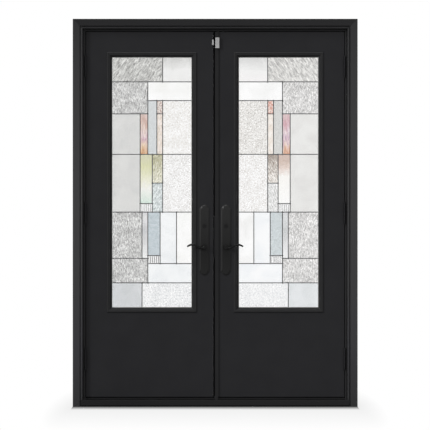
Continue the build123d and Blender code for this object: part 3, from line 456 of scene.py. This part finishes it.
def makePiece(name, points, faces, materials, body):
    # the piece's object sits at the origin, its place is in its mesh
    mesh = bpy.data.meshes.new(name)
    mesh.from_pydata(points.tolist(), [], faces)
    for material in materials:
        mesh.materials.append(material)
    piece = bpy.data.objects.new(name, mesh)
    bpy.context.scene.collection.objects.link(piece)
    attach(piece, body)
    return piece


def joinSheets(name, sheets, materials, body):
    # sheets are (points, faces, rim, material number); each one's faces count on from the points before it
    starts = np.cumsum([0] + [len(sheet[0]) for sheet in sheets])
    points = np.concatenate([sheet[0] for sheet in sheets])
    faces = np.concatenate([sheet[1] + start for sheet, start in zip(sheets, starts)])
    piece = makePiece(name, points, faces.tolist(), materials, body)
    numbers = np.concatenate([np.full(len(sheet[1]), sheet[3]) for sheet in sheets]).astype(np.int32)
    piece.data.polygons.foreach_set("material_index", numbers)
    piece.data.polygons.foreach_set("use_smooth", np.ones(len(numbers), bool))
    rim = piece.data.attributes.new("rim", "FLOAT", "POINT")
    rim.data.foreach_set("value", np.concatenate([sheet[2] for sheet in sheets]).astype(np.float32))
    piece.data.set_sharp_from_angle(angle=math.radians(40))
    piece.data.update()
    return piece


fine, coarse, upright = (3.5 * mm, 3.5 * mm), (30 * mm, 30 * mm), (1.2 * mm, 6 * mm)
upStrokes = {"stretch": (1, 1, 2.2), "drift": 0.3, "window": (0.34, 0.66)}
leanStrokes = {"stretch": (1, 1, 3.4), "drift": 0.2, "window": (0.34, 0.66)}
flat = {"window": (0.3, 0.62), "depthMm": 0.4, "distortion": 0.2}  # drawn sheet: its tone drifts, no more
artSheets = {
    # cells as first and last column line, first and last row line; dark and light of each leaf's sheet;
    # grain in mm with more settings of artGlass; height function, its depth in mm and grid; and the piece
    # on the clear textured sheets the dark tone is painted shade and the light tone painted highlight, for
    # the light the waves bend
    "combed": ([(0, 7, 0, 1)], ("#8c8c89", "#e6e6e3"), ("#abaaa8", "#f3f2ef"),
               10.5, leanStrokes, rippleHeight, 0.4, fine, "textured"),
    "rippled": ([(0, 3, 1, 3), (0, 2, 7, 9), (0, 3, 9, 11)], ("#939392", "#ededec"), ("#a9a8a7", "#fbfaf9"),
                8.0, upStrokes, rippleHeight, 0.4, fine, "textured"),
    "seedy": ([(7, 9, 4, 7)], ("#d7d5d2", "#ffffff"), ("#dad6d2", "#ffffff"),
              10, {"window": (0.28, 0.62), "drift": 0.25}, rippleHeight, 0.2, fine, "textured"),
    "frosty": ([(2, 9, 11, 12)], ("#cfd2d4", "#ffffff"), ("#dadcde", "#ffffff"),
               9, {"window": (0.26, 0.66), "drift": 0.25}, rippleHeight, 0.2, fine, "textured"),
    "rough": ([(7, 9, 2, 4)], ("#dedbd5", "#ffffff"), ("#c3bfb9", "#fbfaf8"),
              10, {"window": (0.28, 0.64), "drift": 0.3}, rippleHeight, 0.2, fine, "textured"),
    "white": ([(3, 9, 1, 2), (8, 9, 7, 10)], ("#f6f6f4", "#ffffff"), ("#f4f4f3", "#ffffff"),
              130, flat, flatHeight, 0, coarse, "clear"),
    "warmGrey": ([(0, 1, 3, 4), (0, 1, 4, 7)], ("#d1d1d0", "#dcdcda"), ("#e1e0de", "#ebebe9"),
                 130, flat, flatHeight, 0, coarse, "clear"),
    "coolGrey": ([(0, 2, 11, 12)], ("#cbced0", "#d5d7da"), ("#dadee0", "#e4e7e9"),
                 130, flat, flatHeight, 0, coarse, "clear"),
    "dove": ([(3, 5, 2, 4)], ("#cbcfd0", "#dbdfe1"), ("#cbcbc9", "#dddddb"),
             8, {"distortion": 1.0}, rippleHeight, 0.12, fine, "coloured"),
    "blue": ([(3, 6, 7, 8)], ("#b8c4ca", "#cad3d9"), ("#c5cdd0", "#d4dcde"),
             18, {"distortion": 1.0}, rippleHeight, 0.12, fine, "coloured"),
    "pale": ([(6, 8, 7, 10), (3, 9, 10, 11)], ("#ebeef0", "#f6f8f9"), ("#f0f3f6", "#fbfcfd"),
             130, flat, flatHeight, 0, coarse, "coloured"),
    "topRose": ([(5, 7, 2, 3)], ("#ad958c", "#f2ece6"), ("#cf8874", "#f6e9e2"),
                10, {"window": (0.42, 0.58)}, rippleHeight, 0.2, fine, "coloured"),
    "lowRose": ([(5, 7, 3, 4)], ("#e0d2c3", "#f6eee9"), ("#ede2d7", "#fbf6f1"),
                20, {"stretch": (1, 1, 2)}, rippleHeight, 0.12, fine, "coloured"),
    "olive": ([(4, 7, 4, 5)], ("#a9a67f", "#eceadb"), ("#95867a", "#f7f3ee"),
              7.5, {"stretch": (1, 1, 3), "paling": 0.25}, rippleHeight, 0.3, fine, "coloured"),
    "water": ([(4, 7, 5, 7)], ("#aeb8b9", "#f3f8f8"), ("#c3c3c2", "#ffffff"),
              7.5, {"stretch": (1, 1, 2.6)}, rippleHeight, 0.4, fine, "coloured"),
}
leaning = {"combed": 0.6, "olive": 0.45, "water": 0.4}  # radians off upright, mirrored on the right leaf
gradedSheets = {
    # cells, colours from the bottom up for each leaf, settings of gradedGlass, then as above
    "corner": ([(7, 9, 0, 1)], [(0.0, "#eeeeed"), (0.45, "#f0f0ef"), (1.0, "#cfcfcd")],
               [(0.0, "#f6f4f4"), (0.45, "#f3f3f2"), (1.0, "#d5d5d4")],
               {"breakUp": 0.5, "grainMm": 60}, flatHeight, 0, coarse, "clear"),
    "slim": ([(2, 3, 7, 9)],
             [(0.0, "#f3f4f4"), (0.35, "#d9d9da"), (0.6, "#cccccf"), (0.85, "#dfdfe0"), (1.0, "#d1d0d3")],
             [(0.0, "#f3f3f4"), (0.35, "#dfdfe0"), (0.6, "#cbcdce"), (0.85, "#dcdedf"), (1.0, "#d7d7da")],
             {"breakUp": 0.3}, flatHeight, 0, coarse, "clear"),
    "streaked": ([(1, 3, 3, 4)],
                 [(0.0, "#cf996a"), (0.22, "#ecd9bd"), (0.4, "#c599b0"), (0.55, "#f0e6e0"), (0.75, "#c79f90"),
                  (1.0, "#dcc9c4")],
                 [(0.0, "#d39978"), (0.22, "#f2e4da"), (0.4, "#b88bab"), (0.55, "#f2eaea"), (0.75, "#c9929f"),
                  (1.0, "#e3d0cf")],
                 {"breakUp": 1.1, "grainMm": 5, "stretch": (1, 1, 26)}, rippleHeight, 0.1, fine, "coloured"),
    "film": ([(1, 4, 4, 6)],
             [(0.0, "#d2e4da"), (0.14, "#e3ece4"), (0.3, "#f1f1ec"), (0.5, "#e9e8d1"), (0.75, "#dadab0"),
              (1.0, "#d2d0b4")],
             [(0.0, "#fdfdfc"), (0.55, "#faf8f4"), (0.72, "#e6d5cc"), (0.85, "#d2bdb1"), (1.0, "#cfb8ae")],
             {"breakUp": 0.2}, rippleHeight, 0.12, fine, "coloured"),
}


def leafGlass(side):
    # every sheet of one leaf, in three pieces, each standing for the node with its plain cells
    parts = {"textured": [], "clear": [], "coloured": []}
    mirror = sides[side]
    column = 1 if mirror < 0 else 2
    for kind, row in artSheets.items():
        limits = cellLimits(side, row[0][0])[1]
        settings = dict(row[4], lean=-mirror * leaning.get(kind, 0.0), limits=limits)
        material = artGlass(side + kind.title() + "Glass", *row[column], row[3], **settings)
        parts[row[8]].append((row[0], material, *row[5:8]))
    for kind, row in gradedSheets.items():
        limits = cellLimits(side, row[0][0])[1]
        material = gradedGlass(side + kind.title() + "Glass", row[column], limits, **row[3])
        parts[row[7]].append((row[0], material, *row[4:7]))
    parts["clear"].append(([(1, 4, 6, 7), (3, 6, 8, 10)], reeded, reedHeight, 1.2, upright))
    for piece, rows in parts.items():
        sheets = []
        for number, (cells, material, height, depth, spacing) in enumerate(rows):
            for order, cell in enumerate(cells):
                seed = glassPlan["seed"] + number * glassPlan["seedStep"] + order
                sheet = glassSheet(*cellLimits(side, cell), height, depth * mm, spacing, seed)
                sheets.append((*sheet, number))
        joined = joinSheets(side + piece.title() + "Glass", sheets, [row[1] for row in rows], side + "_leaf")
        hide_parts(side + "_" + piece + "_glass")
    dress(side + "_glass_panes", paneGlass)


reeded = reededGlass("reededGlass", "#7e7f80", "#f6f6f6", glassPlan["reedPitchMm"])
# float glass: clear, with a plain reflection
paneGlass = newMaterial("floatGlass", "#fefefe", 0.0, Transmission_Weight=1.0, IOR=1.45,
                        Specular_IOR_Level=0.25)[0]
for side in sides:
    leafGlass(side)
print("leaded glass, cell by cell")


def turnedShape(radii, heights, spokes):
    # a profile carried round the z axis: ring n has its own radius and height; both ends close on a point
    angle = np.linspace(0, 2 * math.pi, spokes, endpoint=False)
    rings = np.stack([np.outer(radii, np.cos(angle)), np.outer(radii, np.sin(angle)),
                      np.outer(heights, np.ones(spokes))], -1)
    index = np.arange(len(radii) * spokes).reshape(len(radii), spokes)
    ahead = np.roll(index, -1, 1)
    quads = np.stack([index[:-1], index[1:], ahead[1:], ahead[:-1]], -1).reshape(-1, 4)
    points = np.concatenate([rings.reshape(-1, 3), [[0, 0, heights[0]], [0, 0, heights[-1]]]])
    top, bottom = np.full(spokes, len(points) - 2), np.full(spokes, len(points) - 1)
    caps = np.concatenate([np.stack([top, index[0], ahead[0]], -1),
                           np.stack([bottom, ahead[-1], index[-1]], -1)])
    return points, quads, caps


def domedHead(radius, rise, seat, spokes=20):
    # the height falls as the square of the distance from the middle, then a short wall goes into the seat
    shares = np.array([0.1, 0.4, 0.7, 0.9, 1.0])
    return turnedShape(np.append(shares, 1.0) * radius, np.append(rise * (1 - shares ** 2), -seat), spokes)


screw = {"slotWidth": 0.24, "slotLength": 0.62, "slotDepth": 0.3, "seat": 0.3 * mm}


def screwHead(radius, rise):
    # a domed head with a cross pressed into it, as deep as a share of the radius
    points, quads, caps = domedHead(radius, rise, screw["seat"], spokes=24)
    reach, width = screw["slotLength"] * radius, screw["slotWidth"] * radius
    x, y, z = np.abs(points[:, 0]), np.abs(points[:, 1]), points[:, 2]
    pressed = ((x < reach) & (y < width) | (y < reach) & (x < width)) & (z >= 0)
    points[:, 2] = np.where(pressed, z - screw["slotDepth"] * radius, z)
    return points, quads, caps


facing = {  # what becomes of the x, y and z of a head that looks up, for each way it can look
    "x+": [[0, 0, 1], [1, 0, 0], [0, 1, 0]],
    "x-": [[0, 0, -1], [-1, 0, 0], [0, 1, 0]],
    "y+": [[0, 1, 0], [0, 0, 1], [1, 0, 0]],
    "y-": [[1, 0, 0], [0, 0, -1], [0, 1, 0]],
    "z+": [[1, 0, 0], [0, 1, 0], [0, 0, 1]],
    "z-": [[0, 1, 0], [1, 0, 0], [0, 0, -1]],
}


def copiesAt(shape, places, way):
    # the same shape at every place, turned to look one way
    points, quads, caps = shape
    turned = points @ np.array(facing[way]).T
    allPoints = (turned[None, :, :] + np.array(places)[:, None, :]).reshape(-1, 3)
    steps = (np.arange(len(places)) * len(points))[:, None, None]
    return allPoints, (quads + steps).reshape(-1, 4), (caps + steps).reshape(-1, 3)


def headsPiece(name, shape, places, way, finish, body):
    # all heads of one kind that go on one body and look one way are one piece
    points, quads, caps = copiesAt(shape, places, way)
    makePiece(name, points, quads.tolist() + caps.tolist(), [finishes[finish]], body)


solder = {"radius": 5.5 * mm, "rise": 0.7 * mm, "seat": 0.1 * mm, "spokes": 14, "cameFace": 3.45 * mm}


def solderJoints(side):
    # a flat blob of solder wherever lines of came meet inside the opening, on both faces of the panel
    columns, rows = panelLines(side)
    cells = [cell for row in (*artSheets.values(), *gradedSheets.values()) for cell in row[0]]
    corners = {(a, b) for cell in cells for a in cell[:2] for b in cell[2:]}
    inner = [(a, b) for a, b in sorted(corners) if 0 < a < len(columns) - 1 and 0 < b < len(rows) - 1]
    blob = domedHead(solder["radius"], solder["rise"], solder["seat"], solder["spokes"])
    parts = [copiesAt(blob, [(columns[a], sign * solder["cameFace"], rows[b]) for a, b in inner], way)
             for sign, way in ((-1, "y-"), (1, "y+"))]
    points = np.concatenate([part[0] for part in parts])
    count = len(parts[0][0])
    faces = [list(face) for n, part in enumerate(parts) for group in part[1:] for face in (group + n * count)]
    makePiece(side + "SolderJoints", points, faces, [finishes["cameZinc"]], side + "_leaf")


meeting = {
    "barPoints": 32,  # round the section of a bar
    "sealGap": 0.2 * mm,  # between the strike plate and the seal behind it
    "grooveIn": 3.8 * mm,  # from the edge of the astragal to the middle of its groove
    "grooveHalf": 1.45 * mm,
    "grooveDepth": 2.2 * mm,
    "insert": 0.6 * mm,  # thickness of the strip in the groove
}


def barPiece(name, xs, ys, zs, finish, body):
    # an upright rounded bar: x and y of its section are the middles plus half the widths times the cosine
    # and the sine of an angle, each to the power 0.5 with its sign kept
    count = meeting["barPoints"]
    angle = np.linspace(0, 2 * math.pi, count, endpoint=False)
    section = [sum(pair) / 2 + (pair[1] - pair[0]) / 2 * np.sign(part) * np.abs(part) ** 0.5
               for pair, part in ((xs, np.cos(angle)), (ys, np.sin(angle)))]
    rings = np.concatenate([np.stack([*section, np.full(count, z)], -1) for z in zs])
    index = np.arange(count)
    ahead = np.roll(index, -1)
    walls = np.stack([index, ahead, ahead + count, index + count], -1).tolist()
    ends = [index[::-1].tolist(), (index + count).tolist()]
    makePiece(name, rings, walls + ends, [finishes[finish]], body)


def meetingDetails():
    # the bulb seal goes on behind the strike plate, and a black insert lies in the groove of the astragal as
    # a painted shadow line beside the flange
    strike, seal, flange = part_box("strike_plate"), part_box("astragal_seal"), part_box("astragal")
    barPiece("sealBehindStrike", (seal[0].x, strike[1].x), (strike[1].y + meeting["sealGap"], seal[1].y),
             (strike[0].z, strike[1].z), "sealRubber", "right_leaf")
    x, bottom = flange[1].x - meeting["grooveIn"], flange[0].y + meeting["grooveDepth"]
    barPiece("shadowLineInsert", (x - meeting["grooveHalf"], x + meeting["grooveHalf"]),
             (bottom - meeting["insert"], bottom), (flange[0].z, flange[1].z), "shadowLineVinyl", "right_leaf")


bead = {"width": 2.0 * mm, "rise": 1.8 * mm, "arcPoints": 5}


def glazingBeads(side):
    # a fillet of sealant where each pane meets the lite frame: a quarter round, u in from the opening's edge
    # and v off the pane, carried round the opening's four corners; its pale grey is a painted glow beside the
    # bright glass
    low, high = panel[side]
    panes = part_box(side + "_glass_panes")
    arc = np.linspace(0, math.pi / 2, bead["arcPoints"])
    u = np.concatenate([[0], bead["width"] * np.sin(arc)])
    v = np.concatenate([[0], bead["rise"] * np.cos(arc)])
    border = glassPlan["border"]
    xs, zs = (low.x + border, high.x - border), (low.z + border, high.z - border)
    for name, y, out in (("Outer", panes[0].y, -1), ("Inner", panes[1].y, 1)):
        corners = [(xs[i], zs[j], 1 - 2 * i, 1 - 2 * j) for i, j in ((0, 0), (1, 0), (1, 1), (0, 1))]
        rings = np.concatenate([np.stack([x + a * u, y + out * v, z + c * u], -1) for x, z, a, c in corners])
        index = np.arange(4 * len(u)).reshape(4, len(u))
        ahead, beside = np.roll(index, -1, 0), np.roll(index, -1, 1)
        faces = np.stack([index, ahead, np.roll(ahead, -1, 1), beside], -1).reshape(-1, 4)
        faces = faces[:, ::-out]  # the inner fillet mirrors the outer one, so its faces turn round
        makePiece(side + name + "GlazingBead", rings, faces.tolist(), [finishes["glazingSealantPaintedGlow"]],
                  side + "_leaf")


meetingDetails()
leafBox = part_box("right_outer_skin")
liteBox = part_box("right_inner_lite_frame")
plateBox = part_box("right_inner_escutcheon")
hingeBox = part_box("frame_hinge_leaves")
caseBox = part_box("left_lock_case")
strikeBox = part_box("strike_plate")
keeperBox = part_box("bolt_keepers")
hinge = {"half": 71 * mm, "plate": 3 * mm, "rows": (-56, -24, 24, 56), "zigzag": 6 * mm, "middleY": -5 * mm}
fixings = {"proud": 0.05 * mm, "plateInset": 34 * mm, "plateFace": 8 * mm, "caseInset": 8.5 * mm,
           "strikeInset": 12 * mm, "keeperInset": 6 * mm, "keeperPlate": 2 * mm}
screwSizes = {  # radius and rise of the heads
    "hinge": (4.2 * mm, 0.15 * mm),
    "plate": (4.5 * mm, 1.0 * mm),
    "lock": (4 * mm, 0.1 * mm),
    "keeper": (3.4 * mm, 0.1 * mm),
}
plug = {"radius": 5 * mm, "rise": 0.5 * mm, "seat": 0.3 * mm, "inset": 21 * mm, "sunk": 1.7 * mm,
        "upInset": 90 * mm, "upCount": 6, "acrossInset": 120 * mm, "acrossCount": 2}


def hingeScrewPlaces(x):
    # four screws to a plate, to and fro about its middle line
    low, high = hingeBox[0].z + hinge["half"], hingeBox[1].z - hinge["half"]
    return [(x, hinge["middleY"] + hinge["zigzag"] * (-1) ** n, middle + z * mm)
            for middle in (low, (low + high) / 2, high) for n, z in enumerate(hinge["rows"])]


def litePlugPlaces(sign):
    # caps over the screws of the inner lite frame, evenly apart up both sides and along the top and bottom
    inset, y = plug["inset"], liteBox[1].y - plug["sunk"]
    xs = sorted(sign * x for x in (liteBox[0].x + inset, liteBox[1].x - inset))
    zs = (liteBox[0].z + inset, liteBox[1].z - inset)
    up = np.linspace(zs[0] + plug["upInset"], zs[1] - plug["upInset"], plug["upCount"])
    across = np.linspace(xs[0] + plug["acrossInset"], xs[1] - plug["acrossInset"], plug["acrossCount"])
    return [(x, y, z) for x in xs for z in up] + [(x, y, z) for z in zs for x in across]


heads = {kind: screwHead(*size) for kind, size in screwSizes.items()}
plugHead = domedHead(plug["radius"], plug["rise"], plug["seat"])
proud = fixings["proud"]
leafEdge, rabbetFace = leafBox[1].x, hingeBox[1].x - hinge["plate"]
plateZs = (plateBox[0].z + fixings["plateInset"], plateBox[1].z - fixings["plateInset"])
for side, sign in sides.items():
    body, out, inward = side + "_leaf", "x+" if sign > 0 else "x-", "x-" if sign > 0 else "x+"
    headsPiece(side + "HingeScrewsInLeaf", heads["hinge"], hingeScrewPlaces(sign * (leafEdge + proud)), out,
               "hingeSteel", body)
    headsPiece(side + "HingeScrewsInJamb", heads["hinge"], hingeScrewPlaces(sign * (rabbetFace - proud)),
               inward, "hingeSteel", "frame")
    plateX = sign * (plateBox[0].x + plateBox[1].x) / 2
    plateY = leafBox[0].y * -1 + fixings["plateFace"]
    headsPiece(side + "PlateScrews", heads["plate"], [(plateX, plateY, z) for z in plateZs], "y+",
               "leverLacquer", body)
    headsPiece(side + "LitePlugs", plugHead, litePlugPlaces(sign), "y+", "litePlastic", body)
    solderJoints(side)
    glazingBeads(side)

caseScrews = [(caseBox[1].x + proud, 0, z)
              for z in (caseBox[0].z + fixings["caseInset"], caseBox[1].z - fixings["caseInset"])]
headsPiece("lockPlateScrews", heads["lock"], caseScrews, "x+", "hingeSteel", "left_leaf")
strikeScrews = [(strikeBox[0].x - proud, 0, z)
                for z in (strikeBox[0].z + fixings["strikeInset"], strikeBox[1].z - fixings["strikeInset"])]
headsPiece("strikeScrews", heads["lock"], strikeScrews, "x-", "hingeSteel", "right_leaf")
keeperXs = (keeperBox[0].x + fixings["keeperInset"], keeperBox[1].x - fixings["keeperInset"])
upperFace, lowerFace = keeperBox[1].z - fixings["keeperPlate"], keeperBox[0].z + fixings["keeperPlate"]
headsPiece("upperKeeperScrews", heads["keeper"], [(x, 0, upperFace - proud) for x in keeperXs], "z-",
           "brightSteel", "frame")
headsPiece("lowerKeeperScrews", heads["keeper"], [(x, 0, lowerFace + proud) for x in keeperXs], "z+",
           "brightSteel", "frame")
print("seals, sealant, screws, plugs and solder")

stage = {
    "floorSize": 60.0,
    "paintedShadowTone": "#747474",  # painted contact shadow: the floor's tone, seen only in the dark line under the door
    "contactShadow": (0.08, 0.5),  # metres in front of the door between which that painted shadow tone gives way to the painted shadow halo
    "contactShadowBeside": 400.0,  # how much faster it does so beside the door
    "shadowHalo": 0.17,  # painted shadow: how much darker than the backdrop the floor is at the door
    "shadowHaloReach": (0.17, 3.2),  # metres beside and in front of the door at which the painted shadow halo ends
    "skyLight": 0.35,
}


def whiteRays(owner):
    # 1 for what the camera sees straight, in gloss or through glass
    path = addNode(owner, "ShaderNodeLightPath")
    first = addNode(owner, "ShaderNodeMath", {"operation": "MAXIMUM"},
                    {0: path.outputs["Is Camera Ray"], 1: path.outputs["Is Glossy Ray"]})
    return addNode(owner, "ShaderNodeMath", {"operation": "MAXIMUM"},
                   {0: first.outputs[0], 1: path.outputs["Is Transmission Ray"]})


def distanceOut(material, scale):
    # length of (how far x is beyond the door's side, y), each times its scale
    place = addNode(material, "ShaderNodeTexCoord")
    spread = addNode(material, "ShaderNodeVectorMath", {"operation": "ABSOLUTE"},
                     {0: place.outputs["Object"]})
    beyond = addNode(material, "ShaderNodeVectorMath", {"operation": "SUBTRACT", 1: (cadBox[1].x, 0, 0)},
                     {0: spread.outputs[0]})
    kept = addNode(material, "ShaderNodeVectorMath", {"operation": "MAXIMUM", 1: (0, 0, 0)},
                   {0: beyond.outputs[0]})
    scaled = addNode(material, "ShaderNodeVectorMath", {"operation": "MULTIPLY", 1: (*scale, 0)},
                     {0: kept.outputs[0]})
    return addNode(material, "ShaderNodeVectorMath", {"operation": "LENGTH"}, {0: scaled.outputs[0]})


def studioFloor():
    # matt floor: a painted contact shadow in a dark line where the door stands, then a faint painted shadow
    # halo that fades to the white backdrop
    material, shader = newMaterial("paleStudioFloor", stage["paintedShadowTone"], 0.9, Specular_IOR_Level=0.0)
    near, clear = stage["contactShadow"]
    contactShadow = addNode(material, "ShaderNodeMapRange", {"From Min": near, "From Max": clear},
                      {"Value": distanceOut(material, (stage["contactShadowBeside"], 1)).outputs["Value"]})
    out = distanceOut(material, [1 / reach for reach in stage["shadowHaloReach"]])
    shadowHalo = addNode(material, "ShaderNodeMapRange", {"To Min": 1 - stage["shadowHalo"], "To Max": 1.0},
                   {"Value": out.outputs["Value"]})
    fade = addNode(material, "ShaderNodeMath", {"operation": "MULTIPLY"},
                   {0: contactShadow.outputs[0], 1: shadowHalo.outputs[0]})
    seen = addNode(material, "ShaderNodeMath", {"operation": "MULTIPLY"},
                   {0: whiteRays(material).outputs[0], 1: fade.outputs[0]})
    backdrop = addNode(material, "ShaderNodeEmission", {"Color": (1, 1, 1, 1), "Strength": 1.0})
    mix = addNode(material, "ShaderNodeMixShader",
                  links={0: seen.outputs[0], 1: shader.outputs[0], 2: backdrop.outputs[0]})
    output = material.node_tree.nodes["Material Output"]
    material.node_tree.links.new(mix.outputs[0], output.inputs["Surface"])
    half = stage["floorSize"] / 2
    mesh = bpy.data.meshes.new("studioFloor")
    corners = [(-half, -half, 0), (half, -half, 0), (half, half, 0), (-half, half, 0)]
    mesh.from_pydata(corners, [], [(0, 1, 2, 3)])
    mesh.materials.append(material)
    floor = bpy.data.objects.new("studioFloor", mesh)
    bpy.context.scene.collection.objects.link(floor)


suns = [  # name, where the light comes from, degrees it is wide, strength
    ("keySun", (-1.0, -0.62, 0.45), 12, 2.1),  # long soft shadows to the right of whatever stands proud
    ("topSun", (-0.15, -0.5, 1.0), 25, 1.1),
    ("fillSun", (0.6, -1.0, 0.08), 56, 0.55),
    ("backSun", (0.5, 1.0, 0.35), 50, 1.6),
]


def studioLight():
    # white for what is seen directly, in gloss or through glass; softer as light on the surfaces
    world = bpy.data.worlds.new("studioWorld")
    world.use_nodes = True
    bpy.context.scene.world = world
    world.node_tree.nodes.clear()
    soft = addNode(world, "ShaderNodeBackground", {"Color": (1, 1, 1, 1), "Strength": stage["skyLight"]})
    white = addNode(world, "ShaderNodeBackground", {"Color": (1, 1, 1, 1), "Strength": 1.0})
    mix = addNode(world, "ShaderNodeMixShader",
                  links={0: whiteRays(world).outputs[0], 1: soft.outputs[0], 2: white.outputs[0]})
    addNode(world, "ShaderNodeOutputWorld", links={"Surface": mix.outputs[0]})
    for name, source, width, strength in suns:
        sun = bpy.data.lights.new(name, "SUN")
        sun.angle, sun.energy = math.radians(width), strength
        holder = bpy.data.objects.new(name, sun)
        holder.rotation_euler = Vector(source).to_track_quat("Z", "Y").to_euler()
        bpy.context.scene.collection.objects.link(holder)


photo = {"mmPerPixel": 6.689, "pixels": 430, "middleColumn": 215.18, "floorRow": 406.7,
         "away": 28.0, "sensor": 36.0}  # away in metres, sensor in mm


def studioCamera():
    # looks straight at the door from afar; the lens takes in the photograph's width half way into the casing
    width = photo["pixels"] * photo["mmPerPixel"] * mm
    camera = bpy.data.cameras.new("photoCamera")
    camera.sensor_width = photo["sensor"]
    camera.lens = photo["sensor"] * photo["away"] / width
    camera.clip_end = 200
    holder = bpy.data.objects.new("photoCamera", camera)
    x = (photo["pixels"] / 2 - photo["middleColumn"]) * photo["mmPerPixel"] * mm
    z = (photo["floorRow"] - photo["pixels"] / 2) * photo["mmPerPixel"] * mm
    holder.location = (x, (leafBox[0].y + cadBox[0].y) / 2 - photo["away"], z)
    holder.rotation_euler = (math.radians(90), 0, 0)
    bpy.context.scene.collection.objects.link(holder)
    bpy.context.scene.camera = holder


studioFloor()
studioLight()
studioCamera()
bpy.context.scene.view_settings.view_transform = "Standard"
print("floor, light and camera")
